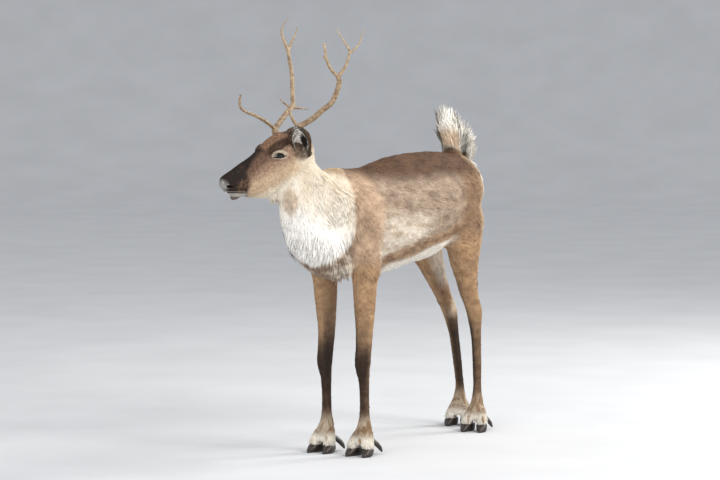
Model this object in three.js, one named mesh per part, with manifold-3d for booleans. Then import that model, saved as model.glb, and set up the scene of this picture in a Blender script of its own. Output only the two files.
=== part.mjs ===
// A standing reindeer cow in late winter coat, life size, the head turned to its right and the tail raised.
// Units are millimetres. +X is the way the body faces, +Y its left side, +Z up. The hooves stand on Z = 0.
import * as THREE from "three";
import { mergeVertices } from "three/addons/utils/BufferGeometryUtils.js";
import Module from "manifold-3d";

const wasm = await Module();
wasm.setup();

// Driving dimensions
const WITHERS = 932; // height of the withers in the coat
const BACK = 967; // height of the back and croup, a little over the withers
const BELLY = 592; // height of the belly under the middle of the trunk
const BUTTOCK_X = -360; // the back of the buttocks
const BARREL = 156; // half the width of the trunk at its widest
const FORE_X = 356; // where the fore legs stand
const FORE_Y = 74; // half the distance between the fore legs
const HIND_Y = 65; // half the distance between the hind legs
const GAP = 0.3; // between two pieces that touch
const HEAD_AT = new THREE.Vector3(560, -75, 1012); // where the head's own frame sits
const HEAD_TURN = -22; // degrees to the left, so the head looks to the right
const HEAD_DROP = 24; // degrees that the nose points down
const EYE_RADIUS = 19;
const LID = 2.6; // thickness of an eyelid
const EAR_WALL = 4;

const rad = THREE.MathUtils.degToRad;
const vec = (x, y, z) => new THREE.Vector3(x, y, z);

// A seeded draw from 0 to 1, so that the coat comes out alike each time
let seed = 7;
function draw() {
  seed = (seed * 1664525 + 1013904223) % 4294967296;
  return seed / 4294967296;
}
const spread = (size) => (2 * draw() - 1) * size;

// Solids

function solid(geometry) {
  const bare = geometry.clone();
  bare.deleteAttribute("normal");
  bare.deleteAttribute("uv");
  const merged = mergeVertices(bare, 1e-4);
  return new wasm.Manifold(
    new wasm.Mesh({
      numProp: 3,
      vertProperties: merged.attributes.position.array,
      triVerts: new Uint32Array(merged.index.array),
    }),
  );
}

function surfaceOf(manifold) {
  const mesh = manifold.getMesh();
  const corners = new Float32Array(mesh.numVert * 3);
  for (let i = 0; i < mesh.numVert; i++) {
    corners.set(mesh.vertProperties.subarray(i * mesh.numProp, i * mesh.numProp + 3), i * 3);
  }
  const geometry = new THREE.BufferGeometry();
  geometry.setAttribute("position", new THREE.BufferAttribute(corners, 3));
  geometry.setIndex(new THREE.BufferAttribute(mesh.triVerts, 1));
  geometry.computeVertexNormals();
  return geometry;
}

const union = (pieces) => wasm.Manifold.union(pieces);

function largest(manifold) {
  return manifold.decompose().reduce((a, b) => (b.volume() > a.volume() ? b : a));
}

// Closes a stack of rings, each a list of points that runs the same way round, with a fan at either end.
function skinOver(rings, startPoint, endPoint) {
  const sides = rings[0].length;
  const points = rings.flat();
  const faces = [];
  for (let i = 0; i + 1 < rings.length; i++) {
    for (let j = 0; j < sides; j++) {
      const k = (j + 1) % sides;
      const [a, b] = [i * sides + j, i * sides + k];
      faces.push(a, b, b + sides, a, b + sides, a + sides);
    }
  }
  const last = (rings.length - 1) * sides;
  points.push(startPoint, endPoint);
  for (let j = 0; j < sides; j++) {
    const k = (j + 1) % sides;
    faces.push(points.length - 2, k, j);
    faces.push(points.length - 1, last + j, last + k);
  }
  const geometry = new THREE.BufferGeometry().setFromPoints(points);
  geometry.setIndex(faces);
  const made = solid(geometry);
  if (made.volume() > 0) return made;
  const flipped = [];
  for (let i = 0; i < faces.length; i += 3) flipped.push(faces[i], faces[i + 2], faces[i + 1]);
  geometry.setIndex(flipped);
  return solid(geometry);
}

// A form is a body built on named sections. A section has its centre, the pitch and turn in degrees of the way
// the form runs there, half its width, its reach above and below, and how much it narrows above and below.
class Form {
  constructor(sections) {
    this.rows = sections.map((s) => [
      ...s.at, s.pitch ?? 0, s.turn ?? 0, s.half, s.above, s.below ?? s.above, s.crest ?? 0, s.keel ?? 0,
    ]);
    this.spans = this.rows.length - 1;
  }

  // The interpolated row at t, which counts sections from 0
  row(t) {
    const i = Math.min(Math.floor(t), this.spans - 1);
    const f = t - i;
    const near = (n) => this.rows[THREE.MathUtils.clamp(n, 0, this.spans)];
    const [a, b, c, d] = [near(i - 1), near(i), near(i + 1), near(i + 2)];
    return b.map((v, n) => {
      const [p, q] = [(c[n] - a[n]) / 2, (d[n] - v) / 2];
      const rise = c[n] - v;
      return v + f * (p + f * (3 * rise - 2 * p - q + f * (p + q - 2 * rise)));
    });
  }

  // The point of the surface at t and an angle round it, from the left side over the top
  point(t, angle, grow = 0) {
    const [x, y, z, pitch, turn, half, above, below, crest, keel] = this.row(t);
    const [p, q] = [rad(pitch), rad(turn)];
    const left = vec(-Math.sin(q), Math.cos(q), 0);
    const up = vec(-Math.sin(p) * Math.cos(q), -Math.sin(p) * Math.sin(q), Math.cos(p));
    const [c, s] = [Math.cos(angle), Math.sin(angle)];
    const narrow = 1 - (s > 0 ? crest : keel) * s * s;
    return vec(x, y, z)
      .addScaledVector(left, (half * narrow + grow) * c)
      .addScaledVector(up, ((s > 0 ? above : below) + grow) * s);
  }

  normal(t, angle) {
    const step = 0.02;
    const along = this.point(t + step, angle).sub(this.point(t - step, angle));
    const round = this.point(t, angle + step).sub(this.point(t, angle - step));
    const out = along.clone().cross(round).normalize();
    const [x, y, z] = this.row(t);
    return out.dot(this.point(t, angle).sub(vec(x, y, z))) < 0 ? out.negate() : out;
  }

  ring(t, sides, grow = 0) {
    return Array.from({ length: sides }, (_, i) => this.point(t, (2 * Math.PI * (i + 0.5)) / sides, grow));
  }

  solid(sides, steps, grow = 0) {
    const count = this.spans * steps;
    const at = (i) => (i / count) * this.spans;
    const rings = Array.from({ length: count + 1 }, (_, i) => this.ring(at(i), sides, grow));
    const centre = (t) => vec(...this.row(t).slice(0, 3));
    return skinOver(rings, centre(0), centre(this.spans));
  }
}

function ellipsoid(centre, radii, sides = 16, turn = 0) {
  const ball = new THREE.SphereGeometry(1, sides, Math.round(sides * 0.6));
  ball.scale(...radii);
  ball.rotateZ(rad(turn));
  ball.translate(centre.x, centre.y, centre.z);
  return solid(ball);
}

// A box of the given size whose local Z axis runs along the normal
function slab(centre, normal, width, height, thick = GAP) {
  const box = new THREE.BoxGeometry(width, height, thick);
  const turn = new THREE.Quaternion().setFromUnitVectors(vec(0, 0, 1), normal.clone().normalize());
  box.applyQuaternion(turn);
  box.translate(centre.x, centre.y, centre.z);
  return solid(box);
}

// Everything on one side of a plane, as a large box
function beyond(point, normal, size = 1500) {
  const n = normal.clone().normalize();
  return slab(point.clone().addScaledVector(n, size / 2), n, size, size, size);
}

// A round bar along a curve, with a radius at each of its points
function bar(points, radii, sides = 8, steps = 3, flat = 1, flatAxis = vec(0, 1, 0)) {
  const curve = new THREE.CatmullRomCurve3(points, false, "centripetal");
  const count = (points.length - 1) * steps;
  const rings = [];
  for (let i = 0; i <= count; i++) {
    const t = i / count;
    const span = Math.min(Math.floor(t * (points.length - 1)), points.length - 2);
    const f = t * (points.length - 1) - span;
    const radius = radii[span] * (1 - f) + radii[span + 1] * f;
    const along = curve.getTangent(t);
    const side = along.clone().cross(flatAxis).normalize();
    const thin = side.clone().cross(along).normalize();
    const centre = curve.getPoint(t);
    rings.push(
      Array.from({ length: sides }, (_, j) => {
        const a = (2 * Math.PI * j) / sides;
        return centre
          .clone()
          .addScaledVector(side, radius * Math.cos(a))
          .addScaledVector(thin, radius * flat * Math.sin(a));
      }),
    );
  }
  return skinOver(rings, curve.getPoint(0), curve.getPoint(1));
}

// A flat lock of hair: it leaves the surface at root, sunk well in, follows the lie and lifts towards its tip
function lock(root, normal, lie, length, width, thick, lift, bend) {
  const side = lie.clone().cross(normal).normalize();
  const shape = [
    { along: -0.12, out: -0.1, wide: 0.55 },
    { along: 0.2, out: 0.02, wide: 0.95 },
    { along: 0.62, out: 0.1, wide: 0.72 },
  ];
  const place = (along, out) =>
    root
      .clone()
      .addScaledVector(lie, along * length)
      .addScaledVector(normal, out * length + lift * Math.max(along, 0) ** 2)
      .addScaledVector(side, bend * along * along);
  const rings = shape.map(({ along, out, wide }) => {
    const centre = place(along, out);
    return [
      centre.clone().addScaledVector(side, (width / 2) * wide),
      centre.clone().addScaledVector(normal, (thick / 2) * wide),
      centre.clone().addScaledVector(side, (-width / 2) * wide),
      centre.clone().addScaledVector(normal, (-thick / 2) * wide),
    ];
  });
  return skinOver(rings, place(-0.14, -0.12), place(1, 0.1));
}

// Trunk: sections run forward from the buttocks into the neck

const trunk = new Form([
  { at: [BUTTOCK_X, 0, 836], half: 52, above: 50, below: 78 }, // buttocks
  { at: [BUTTOCK_X + 16, 0, 836], half: 94, above: 88, below: 124 },
  { at: [BUTTOCK_X + 54, 0, 832], half: 120, above: 122, below: 142 }, // rump
  { at: [-240, 0, 818], half: 130, above: 145, below: 165, crest: 0.12 }, // croup
  { at: [-160, 0, 802], half: 140, above: BACK - 800, below: 178, crest: 0.2 }, // hips
  { at: [-80, 0, 787], half: 150, above: BACK - 785, below: 187, crest: 0.2 }, // loin
  { at: [0, 0, 777], half: BARREL, above: BACK - 778, below: 777 - BELLY, crest: 0.2 }, // middle of the back
  { at: [90, 0, 767], half: BARREL, above: 191, below: 187, crest: 0.22 }, // last ribs
  { at: [180, 0, 757], half: 148, above: 187, below: 190, crest: 0.28, keel: 0.08 }, // girth
  { at: [260, 0, 752], half: 136, above: 178, below: 185, crest: 0.34, keel: 0.16 }, // behind the elbow
  { at: [330, 0, 750], half: 128, above: 179, below: 175, crest: 0.36, keel: 0.2 }, // over the fore legs
  { at: [388, 0, 752], half: 122, above: WITHERS - 752, below: 160, crest: 0.34, keel: 0.2 }, // withers
  { at: [436, -6, 762], half: 112, above: 173, below: 140, crest: 0.3, keel: 0.18 }, // shoulder points
  { at: [476, -14, 770], half: 96, above: 148, below: 120, crest: 0.2 },
  { at: [510, -22, 780], half: 60, above: 85, below: 80 }, // inside the neck
]);

// Crest of the neck, from between the shoulders up to the nape
const crest = new Form([
  { at: [350, 0, 800], pitch: 20, half: 70, above: 84, below: 84 },
  { at: [420, -6, 812], pitch: 28, half: 108, above: 108, below: 120 },
  { at: [468, -20, 840], pitch: 38, half: 102, above: 80, below: 112, turn: -10 },
  { at: [506, -40, 884], pitch: 46, half: 84, above: 58, below: 96, turn: -18 },
  { at: [532, -56, 930], pitch: 50, half: 68, above: 50, below: 80, turn: -22 },
  { at: [542, -62, 957], pitch: 50, half: 40, above: 34, below: 44, turn: -22 },
]);

// Neck with its ruff: level sections run down from the head to the brisket, so above is towards the front

const neck = new Form([
  { at: [548, -66, 997], turn: -22, half: 44, above: 44, below: 46 },
  { at: [546, -64, 967], turn: -22, half: 60, above: 62, below: 62 }, // nape
  { at: [541, -60, 924], turn: -20, half: 70, above: 76, below: 76 },
  { at: [533, -54, 880], turn: -18, half: 75, above: 82, below: 92 }, // throat
  { at: [520, -46, 832], turn: -15, half: 78, above: 92, below: 108 },
  { at: [502, -40, 777], turn: -12, half: 88, above: 100, below: 120 },
  { at: [480, -33, 720], turn: -8, half: 97, above: 102, below: 120 }, // breast
  { at: [456, -25, 670], turn: -4, half: 96, above: 96, below: 105 },
  { at: [434, -16, 628], half: 84, above: 82, below: 90 },
  { at: [420, -10, 600], half: 60, above: 58, below: 66 }, // brisket
  { at: [410, -6, 586], half: 30, above: 30, below: 34 },
].map((s) => ({ ...s, pitch: -90 })));

// Ruff: overlapping locks in rows down the throat, the sides of the neck and the brisket

const RUFF = { first: 3.1, last: 9.1, rows: 9, reach: 108, length: 88, width: 54, thick: 12, lift: 6 };

function ruffLocks() {
  const locks = [];
  for (let i = 0; i < RUFF.rows; i++) {
    const t = RUFF.first + ((RUFF.last - RUFF.first) * i) / (RUFF.rows - 1);
    const reach = RUFF.reach - 6 * i;
    const count = 6 - Math.floor(i / 4);
    for (let j = 0; j < count; j++) {
      const share = (j + (i % 2 ? 0.25 : 0.75)) / count;
      const angle = rad(90 + reach * (2 * share - 1) + spread(4));
      const along = t + spread(0.12);
      const root = neck.point(along, angle, -2);
      const out = neck.normal(along, angle);
      const down = neck.point(along + 0.05, angle).sub(neck.point(along - 0.05, angle)).normalize();
      const lie = down.add(vec(-0.12, 0, -0.25)).normalize();
      lie.addScaledVector(out, -lie.dot(out)).normalize();
      const scale = 1 - 0.25 * Math.max(0, i - 6) + spread(0.12);
      const width = RUFF.width * (1 + spread(0.12));
      locks.push(lock(root, out, lie, RUFF.length * scale, width, RUFF.thick, RUFF.lift, spread(12)));
    }
  }
  return locks;
}

// Legs: sections run down the leg, so above is towards the front and below towards the back

function legForm(rows, side) {
  return new Form(
    rows.map(([z, x, y, front, back, half]) => ({
      at: [x, side * y, z], pitch: -90, half, above: front, below: back,
    })),
  );
}

const foreRows = [
  // height, x, y, reach to the front and back, half width
  [762, FORE_X + 2, 58, 52, 52, 34], // shoulder
  [702, FORE_X + 8, 73, 64, 66, 40], // upper arm
  [632, FORE_X + 4, 79, 64, 72, 42], // elbow
  [572, FORE_X, 78, 54, 56, 38], // top of the forearm
  [502, FORE_X - 2, FORE_Y + 2, 44, 46, 34],
  [415, FORE_X - 4, FORE_Y, 34, 35, 29],
  [350, FORE_X, FORE_Y, 30, 30, 27],
  [304, FORE_X + 6, FORE_Y, 29, 28, 27], // knee
  [274, FORE_X + 6, FORE_Y, 25, 26, 24],
  [240, FORE_X, FORE_Y, 20, 23, 19],
  [184, FORE_X - 3, FORE_Y, 18, 20, 17],
  [132, FORE_X - 4, FORE_Y, 19, 21, 18],
  [96, FORE_X - 3, FORE_Y, 24, 26, 24], // fetlock
  [70, FORE_X + 6, FORE_Y, 24, 27, 26],
  [44, FORE_X + 16, FORE_Y, 22, 26, 24],
];

// The foot of a hind leg may stand further back than the other
function hindRows(shift) {
  const rows = [
    [806, -228, 66, 88, 100, 50], // hip
    [742, -236, 80, 104, 106, 50], // thigh
    [672, -234, 84, 98, 94, 47], // stifle
    [612, -240, 82, 78, 80, 42],
    [557, -258, 76, 58, 66, 35],
    [512, -276, 71, 46, 54, 30], // second thigh
    [467, -300, 68, 38, 42, 27],
    [430, -322, 67, 35, 40, 26], // hock
    [397, -336, 66, 32, 34, 25],
    [357, -344, HIND_Y, 26, 25, 21],
    [312, -349, HIND_Y, 20, 22, 18],
    [230, -354, HIND_Y, 18, 20, 17],
    [146, -356, HIND_Y, 18, 19, 16],
    [98, -355, HIND_Y, 23, 25, 23], // fetlock
    [70, -346, HIND_Y, 24, 27, 26],
    [44, -336, HIND_Y, 22, 26, 24],
  ];
  return rows.map(([z, x, ...rest]) => {
    const share = THREE.MathUtils.clamp((812 - z) / (812 - 146), 0, 1) ** 1.3;
    return [z, x + shift * share, ...rest];
  });
}

// Heights where the leg leaves the trunk, and where knee or hock and fetlock part its lengths
const FORE_CUTS = [560, 294, 106];
const HIND_CUTS = [608, 408, 106];

const legs = {
  fore_left: { form: legForm(foreRows, 1), foot: vec(FORE_X, FORE_Y, 0), turn: 6, cuts: FORE_CUTS },
  fore_right: { form: legForm(foreRows, -1), foot: vec(FORE_X, -FORE_Y, 0), turn: 2, cuts: FORE_CUTS },
  hind_left: { form: legForm(hindRows(0), 1), foot: vec(-352, HIND_Y, 0), turn: 14, cuts: HIND_CUTS },
  hind_right: { form: legForm(hindRows(-95), -1), foot: vec(-452, -HIND_Y, 0), turn: 18, cuts: HIND_CUTS },
};

// Feet: two spreading toes with horn hooves, and two dewclaws behind

const TOE_OUT = 20; // from the middle of the foot to the middle of a toe
const SPLAY = 15; // degrees that each toe turns outwards
const HOOF_LENGTH = 64;
const CORONET = 24; // height where horn gives way to hair

const placed = (manifold, matrix) => manifold.transform(matrix.elements);

function footMatrix(leg) {
  const matrix = new THREE.Matrix4().makeTranslation(leg.foot);
  return matrix.multiply(new THREE.Matrix4().makeRotationZ(rad(leg.turn)));
}

function toeMatrix(leg, toe) {
  return footMatrix(leg)
    .multiply(new THREE.Matrix4().makeTranslation(0, toe * TOE_OUT, 0))
    .multiply(new THREE.Matrix4().makeRotationZ(rad(toe * SPLAY)));
}

// A toe's hair, down past the coronet
function toeSolid(leg, toe) {
  const form = new Form([
    { at: [-14, toe * -9, 92], half: 12, above: 12, pitch: -60 },
    { at: [-6, toe * -8, 78], half: 17, above: 20, pitch: -60 },
    { at: [8, toe * -3, 56], half: 18.5, above: 21, pitch: -60 },
    { at: [20, 0, 36], half: 19.5, above: 22, below: 24, pitch: -65 },
    { at: [28, 0, 16], half: 19, above: 26, below: 32, pitch: -75 },
    { at: [30, 0, 6], half: 12, above: 16, pitch: -80 },
  ]);
  return placed(form.solid(8, 1), toeMatrix(leg, toe));
}

// A hoof runs from its bulb to its tip, flat on the floor and flat under the hair
function hoofSolid(leg, toe) {
  const form = new Form([
    { at: [-14, 0, 20], half: 7, above: 10, below: 12 },
    { at: [-6, 0, 18], half: 14, above: 16, below: 24 },
    { at: [HOOF_LENGTH * 0.3, 0, 18], half: 18.5, above: 20, below: 26 },
    { at: [HOOF_LENGTH * 0.6, 0, 14], half: 17, above: 16, below: 22 },
    { at: [HOOF_LENGTH * 0.84, toe * -3, 8], half: 10.5, above: 9, below: 13 },
    { at: [HOOF_LENGTH * 0.98, toe * -6, 4], half: 4, above: 3.5, below: 6 },
  ]);
  const horn = form.solid(10, 1).subtract(beyond(vec(0, 0, 0), vec(0, 0, -1)));
  return placed(horn, toeMatrix(leg, toe)).subtract(beyond(vec(0, 0, CORONET), vec(0, 0, 1)));
}

function dewclawSolid(leg, toe, grow = 0) {
  const matrix = footMatrix(leg);
  const spots = [[-14, 20, 50], [-30, 31, 34], [-41, 38, 20], [-47, 42, 8]];
  const points = spots.map(([x, y, z]) => vec(x, toe * y, z).applyMatrix4(matrix));
  const radii = [9, 10.5, 9, 4].map((r) => r + grow);
  return bar(points, radii, 6, 1, 0.65, vec(0, toe * 0.9, 0.45));
}

// Head, in its own frame: X towards the nose, Y left, Z up

const headMatrix = new THREE.Matrix4()
  .makeTranslation(HEAD_AT)
  .multiply(new THREE.Matrix4().makeRotationZ(rad(HEAD_TURN)))
  .multiply(new THREE.Matrix4().makeRotationY(rad(HEAD_DROP)));
const onHead = (manifold) => placed(manifold, headMatrix);

// A section of the head from its height above and below the frame's X axis
const headSection = (x, top, bottom, half, crest = 0.1, keel = 0.2) => {
  const middle = bottom + (top - bottom) * 0.56;
  return { at: [x, 0, middle], half, above: top - middle, below: middle - bottom, crest, keel };
};

const skull = new Form([
  headSection(-60, -22, -82, 24),
  headSection(-50, 6, -98, 43),
  headSection(-30, 25, -108, 54), // back of the skull
  headSection(-6, 36, -118, 58), // poll
  headSection(22, 43, -130, 60, 0.14, 0.25), // between the antlers
  headSection(52, 45, -143, 62, 0.16, 0.32),
  headSection(80, 40, -150, 60, 0.14, 0.4), // eyes
  headSection(108, 31, -150, 54, 0.1, 0.45), // angle of the jaw
  headSection(136, 23, -141, 47, 0.1, 0.42), // cheeks
  headSection(165, 19, -123, 41, 0.1, 0.35), // bridge of the nose
  headSection(195, 17, -106, 37, 0.08, 0.3),
  headSection(222, 13, -88, 36, 0.05, 0.25), // corners of the mouth
  headSection(246, 10, -74, 36, 0, 0.15), // nostrils
  headSection(264, 8, -58, 32, 0, 0.1),
  headSection(277, 2, -46, 23, 0, 0),
  headSection(284, -10, -30, 10, 0, 0), // tip of the nose
]);

const EYE = { x: 77, y: 41, z: -7, forward: 16, slope: 14 };
const eyeCentre = (side) => vec(EYE.x, side * EYE.y, EYE.z);
const eyeAxis = (side) =>
  vec(Math.sin(rad(EYE.forward)), side * Math.cos(rad(EYE.forward)), 0.04).normalize();

// The slit between the lids, a lens pushed outwards from the eyeball
function lidOpening(side) {
  const long = 19.5;
  const lens = new THREE.Shape();
  lens.moveTo(-long, -1);
  lens.quadraticCurveTo(-3, 17, long, -4);
  lens.quadraticCurveTo(3, -15, -long, -1);
  const block = new THREE.ExtrudeGeometry(lens, { depth: 40, bevelEnabled: false, curveSegments: 7 });
  const out = eyeAxis(side);
  const slope = vec(Math.cos(rad(EYE.slope)), 0, Math.sin(rad(EYE.slope)));
  const along = slope.addScaledVector(out, -out.dot(slope)).normalize();
  block.applyMatrix4(new THREE.Matrix4().makeBasis(along, out.clone().cross(along), out));
  const centre = eyeCentre(side);
  block.translate(centre.x, centre.y, centre.z);
  return solid(block);
}

// The front of an eyeball, cut flat a little behind its middle
function eyeball(side, grow = 0) {
  const radius = EYE_RADIUS + grow;
  const back = eyeCentre(side).addScaledVector(eyeAxis(side), -6 - grow);
  const ball = ellipsoid(eyeCentre(side), [radius, radius, radius], 14);
  return ball.subtract(beyond(back, eyeAxis(side).negate(), 200));
}

function headSolid() {
  const parts = [skull.solid(20, 1)];
  for (const side of [1, -1]) {
    parts.push(ellipsoid(vec(78, side * 44, 7), [31, 20, 20], 12, -side * 12)); // brow over the orbit
    const lid = EYE_RADIUS + LID;
    parts.push(ellipsoid(eyeCentre(side), [lid + 3, lid, lid], 12)); // lids
    parts.push(ellipsoid(vec(66, side * 38, -76), [46, 22, 44], 12, -side * 8)); // jaw muscle
    parts.push(ellipsoid(vec(252, side * 20, -28), [24, 18, 20], 10, -side * 14)); // wing of the nostril
  }
  parts.push(ellipsoid(vec(249, 0, -71), [23, 20, 12], 12)); // lower lip
  const cuts = [];
  for (const side of [1, -1]) {
    cuts.push(lidOpening(side));
    cuts.push(eyeball(side, GAP));
    cuts.push(ellipsoid(vec(269, side * 25, -29), [10, 6, 6], 10, -side * 40)); // nostril
  }
  // the line of the mouth, a slit that goes in behind the lips
  const mouth = slab(vec(257, 0, -55), vec(-0.49, 0, 1), 72, 110, 1.8);
  cuts.push(mouth.subtract(skull.solid(12, 1, -4)));
  return union(parts).subtract(union(cuts));
}

// Ears: a scoop with its root on the side of the head. The left one stands up, the right one is laid back.

const ears = {
  left: { root: vec(-8, 52, -38), along: vec(0.16, 0.38, 0.9), facing: vec(0.62, 0.78, 0) },
  right: { root: vec(-18, -52, -38), along: vec(-0.82, -0.5, 0.27), facing: vec(0.3, -0.92, -0.2) },
};

function earSolid(ear) {
  // height, half width, depth behind, depth in front
  const leaf = [
    [-14, 17, 14, 14],
    [10, 22, 18, 17],
    [35, 29, 19, 15],
    [60, 31, 16, 11],
    [82, 24, 11, 7],
    [98, 11, 5, 3],
    [103, 3, 2, 2],
  ];
  const cup = [
    [10, 9, 7, 34],
    [35, 29 - EAR_WALL, 14, 44],
    [60, 31 - EAR_WALL, 11, 44],
    [82, 24 - EAR_WALL, 6, 40],
    [93, 8, 2, 30],
  ];
  const form = (rows) =>
    new Form(rows.map(([z, half, above, below]) => ({ at: [0, 0, z], pitch: 90, half, above, below })));
  const scoop = form(leaf).solid(14, 1).subtract(form(cup).solid(12, 1));
  const up = ear.along.clone().normalize();
  const face = ear.facing.clone().addScaledVector(up, -ear.facing.dot(up)).normalize();
  const matrix = new THREE.Matrix4().makeBasis(face, up.clone().cross(face), up);
  return onHead(placed(scoop, matrix.setPosition(ear.root)));
}

// Antlers, in the head's frame: a beam from the pedicle to its main fork, then brow tine and branches

const BURR = 12; // radius of the knotted ring at the root of a beam
const BEAM = { root: 10, left: 8, right: 5.8 }; // radius at the root, and at the main fork of either side
const TINE = { root: 6.2, branch: 4.6, joined: 3.8, tip: 1.7 }; // radii of the tines
const antlers = {
  left: {
    beam: [
      [-8, 46, 24], [-18, 50, 42], [-44, 62, 46], [-66, 80, 53], [-94, 100, 67], [-125, 120, 80], [-147, 135, 106],
      [-163, 145, 132], [-165, 150, 156],
    ],
    brow: [
      [[-20, 50, 44], [-15, 47, 76], [-16, 43, 98], [-26, 38, 114]],
      [[-24, 40, 110], [-17, 36, 124], [-10, 31, 138], [-11, 28, 158]],
      [[-24, 40, 110], [-42, 40, 116], [-54, 42, 130]],
    ],
    front: [
      [[-165, 150, 154], [-153, 152, 174], [-146, 152, 198], [-147, 150, 225], [-157, 145, 248], [-165, 138, 270]],
      [[-147, 151, 220], [-136, 148, 240]],
    ],
    crown: [
      [[-165, 150, 154], [-189, 152, 165], [-215, 150, 182], [-241, 146, 208]],
      [[-239, 147, 204], [-240, 138, 233], [-238, 125, 270], [-247, 112, 294]],
      [[-239, 147, 204], [-260, 146, 206], [-286, 144, 217], [-312, 138, 238], [-329, 132, 252]],
    ],
  },
  right: {
    beam: [
      [4, -46, 24], [6, -50, 42], [-24, -57, 54], [-72, -75, 66], [-113, -94, 72], [-137, -115, 91], [-164, -135, 123],
      [-182, -145, 152], [-194, -150, 190], [-203, -150, 228],
    ],
    brow: [
      [[2, -50, 44], [27, -45, 82], [59, -38, 118], [91, -30, 147], [106, -24, 168], [102, -21, 189], [91, -19, 206]],
      [[24, -46, 78], [23, -45, 92]],
    ],
    front: [[[-203, -150, 226], [-200, -148, 259], [-202, -145, 293], [-215, -138, 313], [-236, -122, 332]]],
    back: [[[-203, -150, 226], [-218, -150, 238], [-245, -140, 267], [-258, -132, 290]]],
    spur: [[[-108, -93, 70], [-139, -100, 52], [-176, -108, 30]]],
  },
};

const points = (list) => list.map((p) => vec(...p).applyMatrix4(headMatrix));

// Radius falls off evenly from the root to the tip
function tine(list, from, to, grow = 0) {
  const radii = list.map((_, i) => from + ((to - from) * i) / (list.length - 1) + grow);
  return bar(points(list), radii, 6, 2);
}

function antlerPieces(side, carrier) {
  const { beam, ...branches } = antlers[side];
  const beamOf = (grow) => {
    const burr = bar(points(beam.slice(0, 2)), [BURR + grow, BURR + grow], 9, 1);
    return union([tine(beam, BEAM.root, BEAM[side], grow), burr]);
  };
  const pieces = { [`antler_${side}_beam`]: largest(beamOf(0).subtract(carrier)) };
  const keepOff = union([carrier, beamOf(GAP)]);
  const done = [];
  for (const [name, tines] of Object.entries(branches)) {
    const [stem, ...twigs] = tines;
    const whole = (grow) => {
      const end = twigs.length ? TINE.joined : TINE.tip;
      const side = twigs.map((list) => tine(list, TINE.branch, TINE.tip, grow));
      return union([tine(stem, TINE.root, end, grow), ...side]);
    };
    pieces[`antler_${side}_${name}`] = largest(whole(0).subtract(union([keepOff, ...done])));
    done.push(whole(GAP));
  }
  return pieces;
}

// Tail: raised, its core carries tiers of long hair that close round it and end in a rounded brush

const TAIL = { tiers: 5, locks: 6, length: 90, width: 42, thick: 11 };
const TAIL_CORE = [vec(-292, 2, 925), vec(-300, 0, 965), vec(-294, -8, 1008), vec(-277, -17, 1050)];
const TAIL_RADII = [27, 25, 21, 11]; // along the back; across it the core is wider
const TAIL_SEAT = { at: vec(-300, 0, 960), normal: vec(0.05, 0, 1) };

function tailLock(root, out, lie, scale) {
  const normal = out.clone().addScaledVector(lie, -out.dot(lie)).normalize();
  const length = TAIL.length * (0.85 + spread(0.1));
  return lock(root, normal, lie, length, TAIL.width * scale, TAIL.thick, 4, spread(6));
}

function tailPieces() {
  const wide = 1.4;
  const parts = [bar(TAIL_CORE, TAIL_RADII, 10, 1, wide, vec(0, 1, 0))];
  const curve = new THREE.CatmullRomCurve3(TAIL_CORE);
  for (let i = 0; i < TAIL.tiers; i++) {
    const share = 0.3 + (0.62 * i) / (TAIL.tiers - 1);
    const radius = TAIL_RADII[1] * (1 - 0.55 * share ** 2) - 3;
    const count = Math.round(TAIL.locks - 0.6 * i);
    for (let j = 0; j < count; j++) {
      const turn = rad((360 * (j + (i % 2) / 2)) / count + spread(6));
      const out = vec(Math.cos(turn), Math.sin(turn), 0);
      const backward = Math.max(0, -out.x) * (1 - share);
      const root = curve.getPoint(share).add(vec(out.x * radius, out.y * radius * wide, spread(4)));
      const lie = vec((0.3 - 0.2 * share) * out.x - 0.7 * backward, (0.42 - 0.3 * share) * out.y, 1);
      parts.push(tailLock(root, out, lie.normalize(), 1 - 0.35 * share));
    }
  }
  for (const side of [1, -1]) {
    const root = curve.getPoint(0.9).add(vec(0, side * 6, 0));
    parts.push(tailLock(root, vec(side, 0, 0), curve.getTangent(1).setY(side * 0.1).normalize(), 0.8));
  }
  return parts;
}

// The whole body, then parted with thin cuts

const finishes = {
  // colour and roughness
  back: ["#8d7a66", 0.95],
  pale: ["#d9cdb8", 0.95],
  face: ["#6f5a48", 0.9],
  leg: ["#7a5f49", 0.92],
  foot: ["#d8cdbb", 0.92],
  white: ["#efe9dc", 0.95],
  antler: ["#a88352", 0.6],
  horn: ["#1d1a18", 0.45],
  eye: ["#120d0a", 0.12],
};

const group = new THREE.Group();
function add(name, manifold, finish) {
  const [color, roughness] = finishes[finish];
  const look = new THREE.MeshStandardMaterial({ color, roughness, metalness: 0 });
  const mesh = new THREE.Mesh(surfaceOf(largest(manifold)), look);
  mesh.name = name;
  group.add(mesh);
}

const NECK_CUT = { at: vec(452, -10, 772), normal: vec(0.94, -0.06, 0.34) };
const HEAD_CUT = { at: vec(541, -64, 942), normal: vec(0.62, -0.3, 0.72) };

// Splits a solid at a plane into the part in front and the part behind, a gap apart
function split(manifold, { at, normal }) {
  const n = normal.clone().normalize();
  const front = manifold.intersect(beyond(at.clone().addScaledVector(n, GAP / 2), n));
  const back = manifold.subtract(beyond(at.clone().addScaledVector(n, -GAP / 2), n));
  return [front, back];
}

const neckCore = union([neck.solid(22, 1), crest.solid(20, 1)]);
const head = onHead(headSolid());

// Trunk with its legs
const legSolids = {};
for (const [name, leg] of Object.entries(legs)) {
  const toes = [1, -1].map((toe) => toeSolid(leg, toe));
  const claws = [1, -1].map((toe) => dewclawSolid(leg, toe, GAP));
  const below = beyond(vec(0, 0, CORONET + GAP), vec(0, 0, -1));
  const whole = union([leg.form.solid(12, 1), ...toes]).subtract(below);
  legSolids[name] = whole.subtract(union(claws));
}

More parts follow.
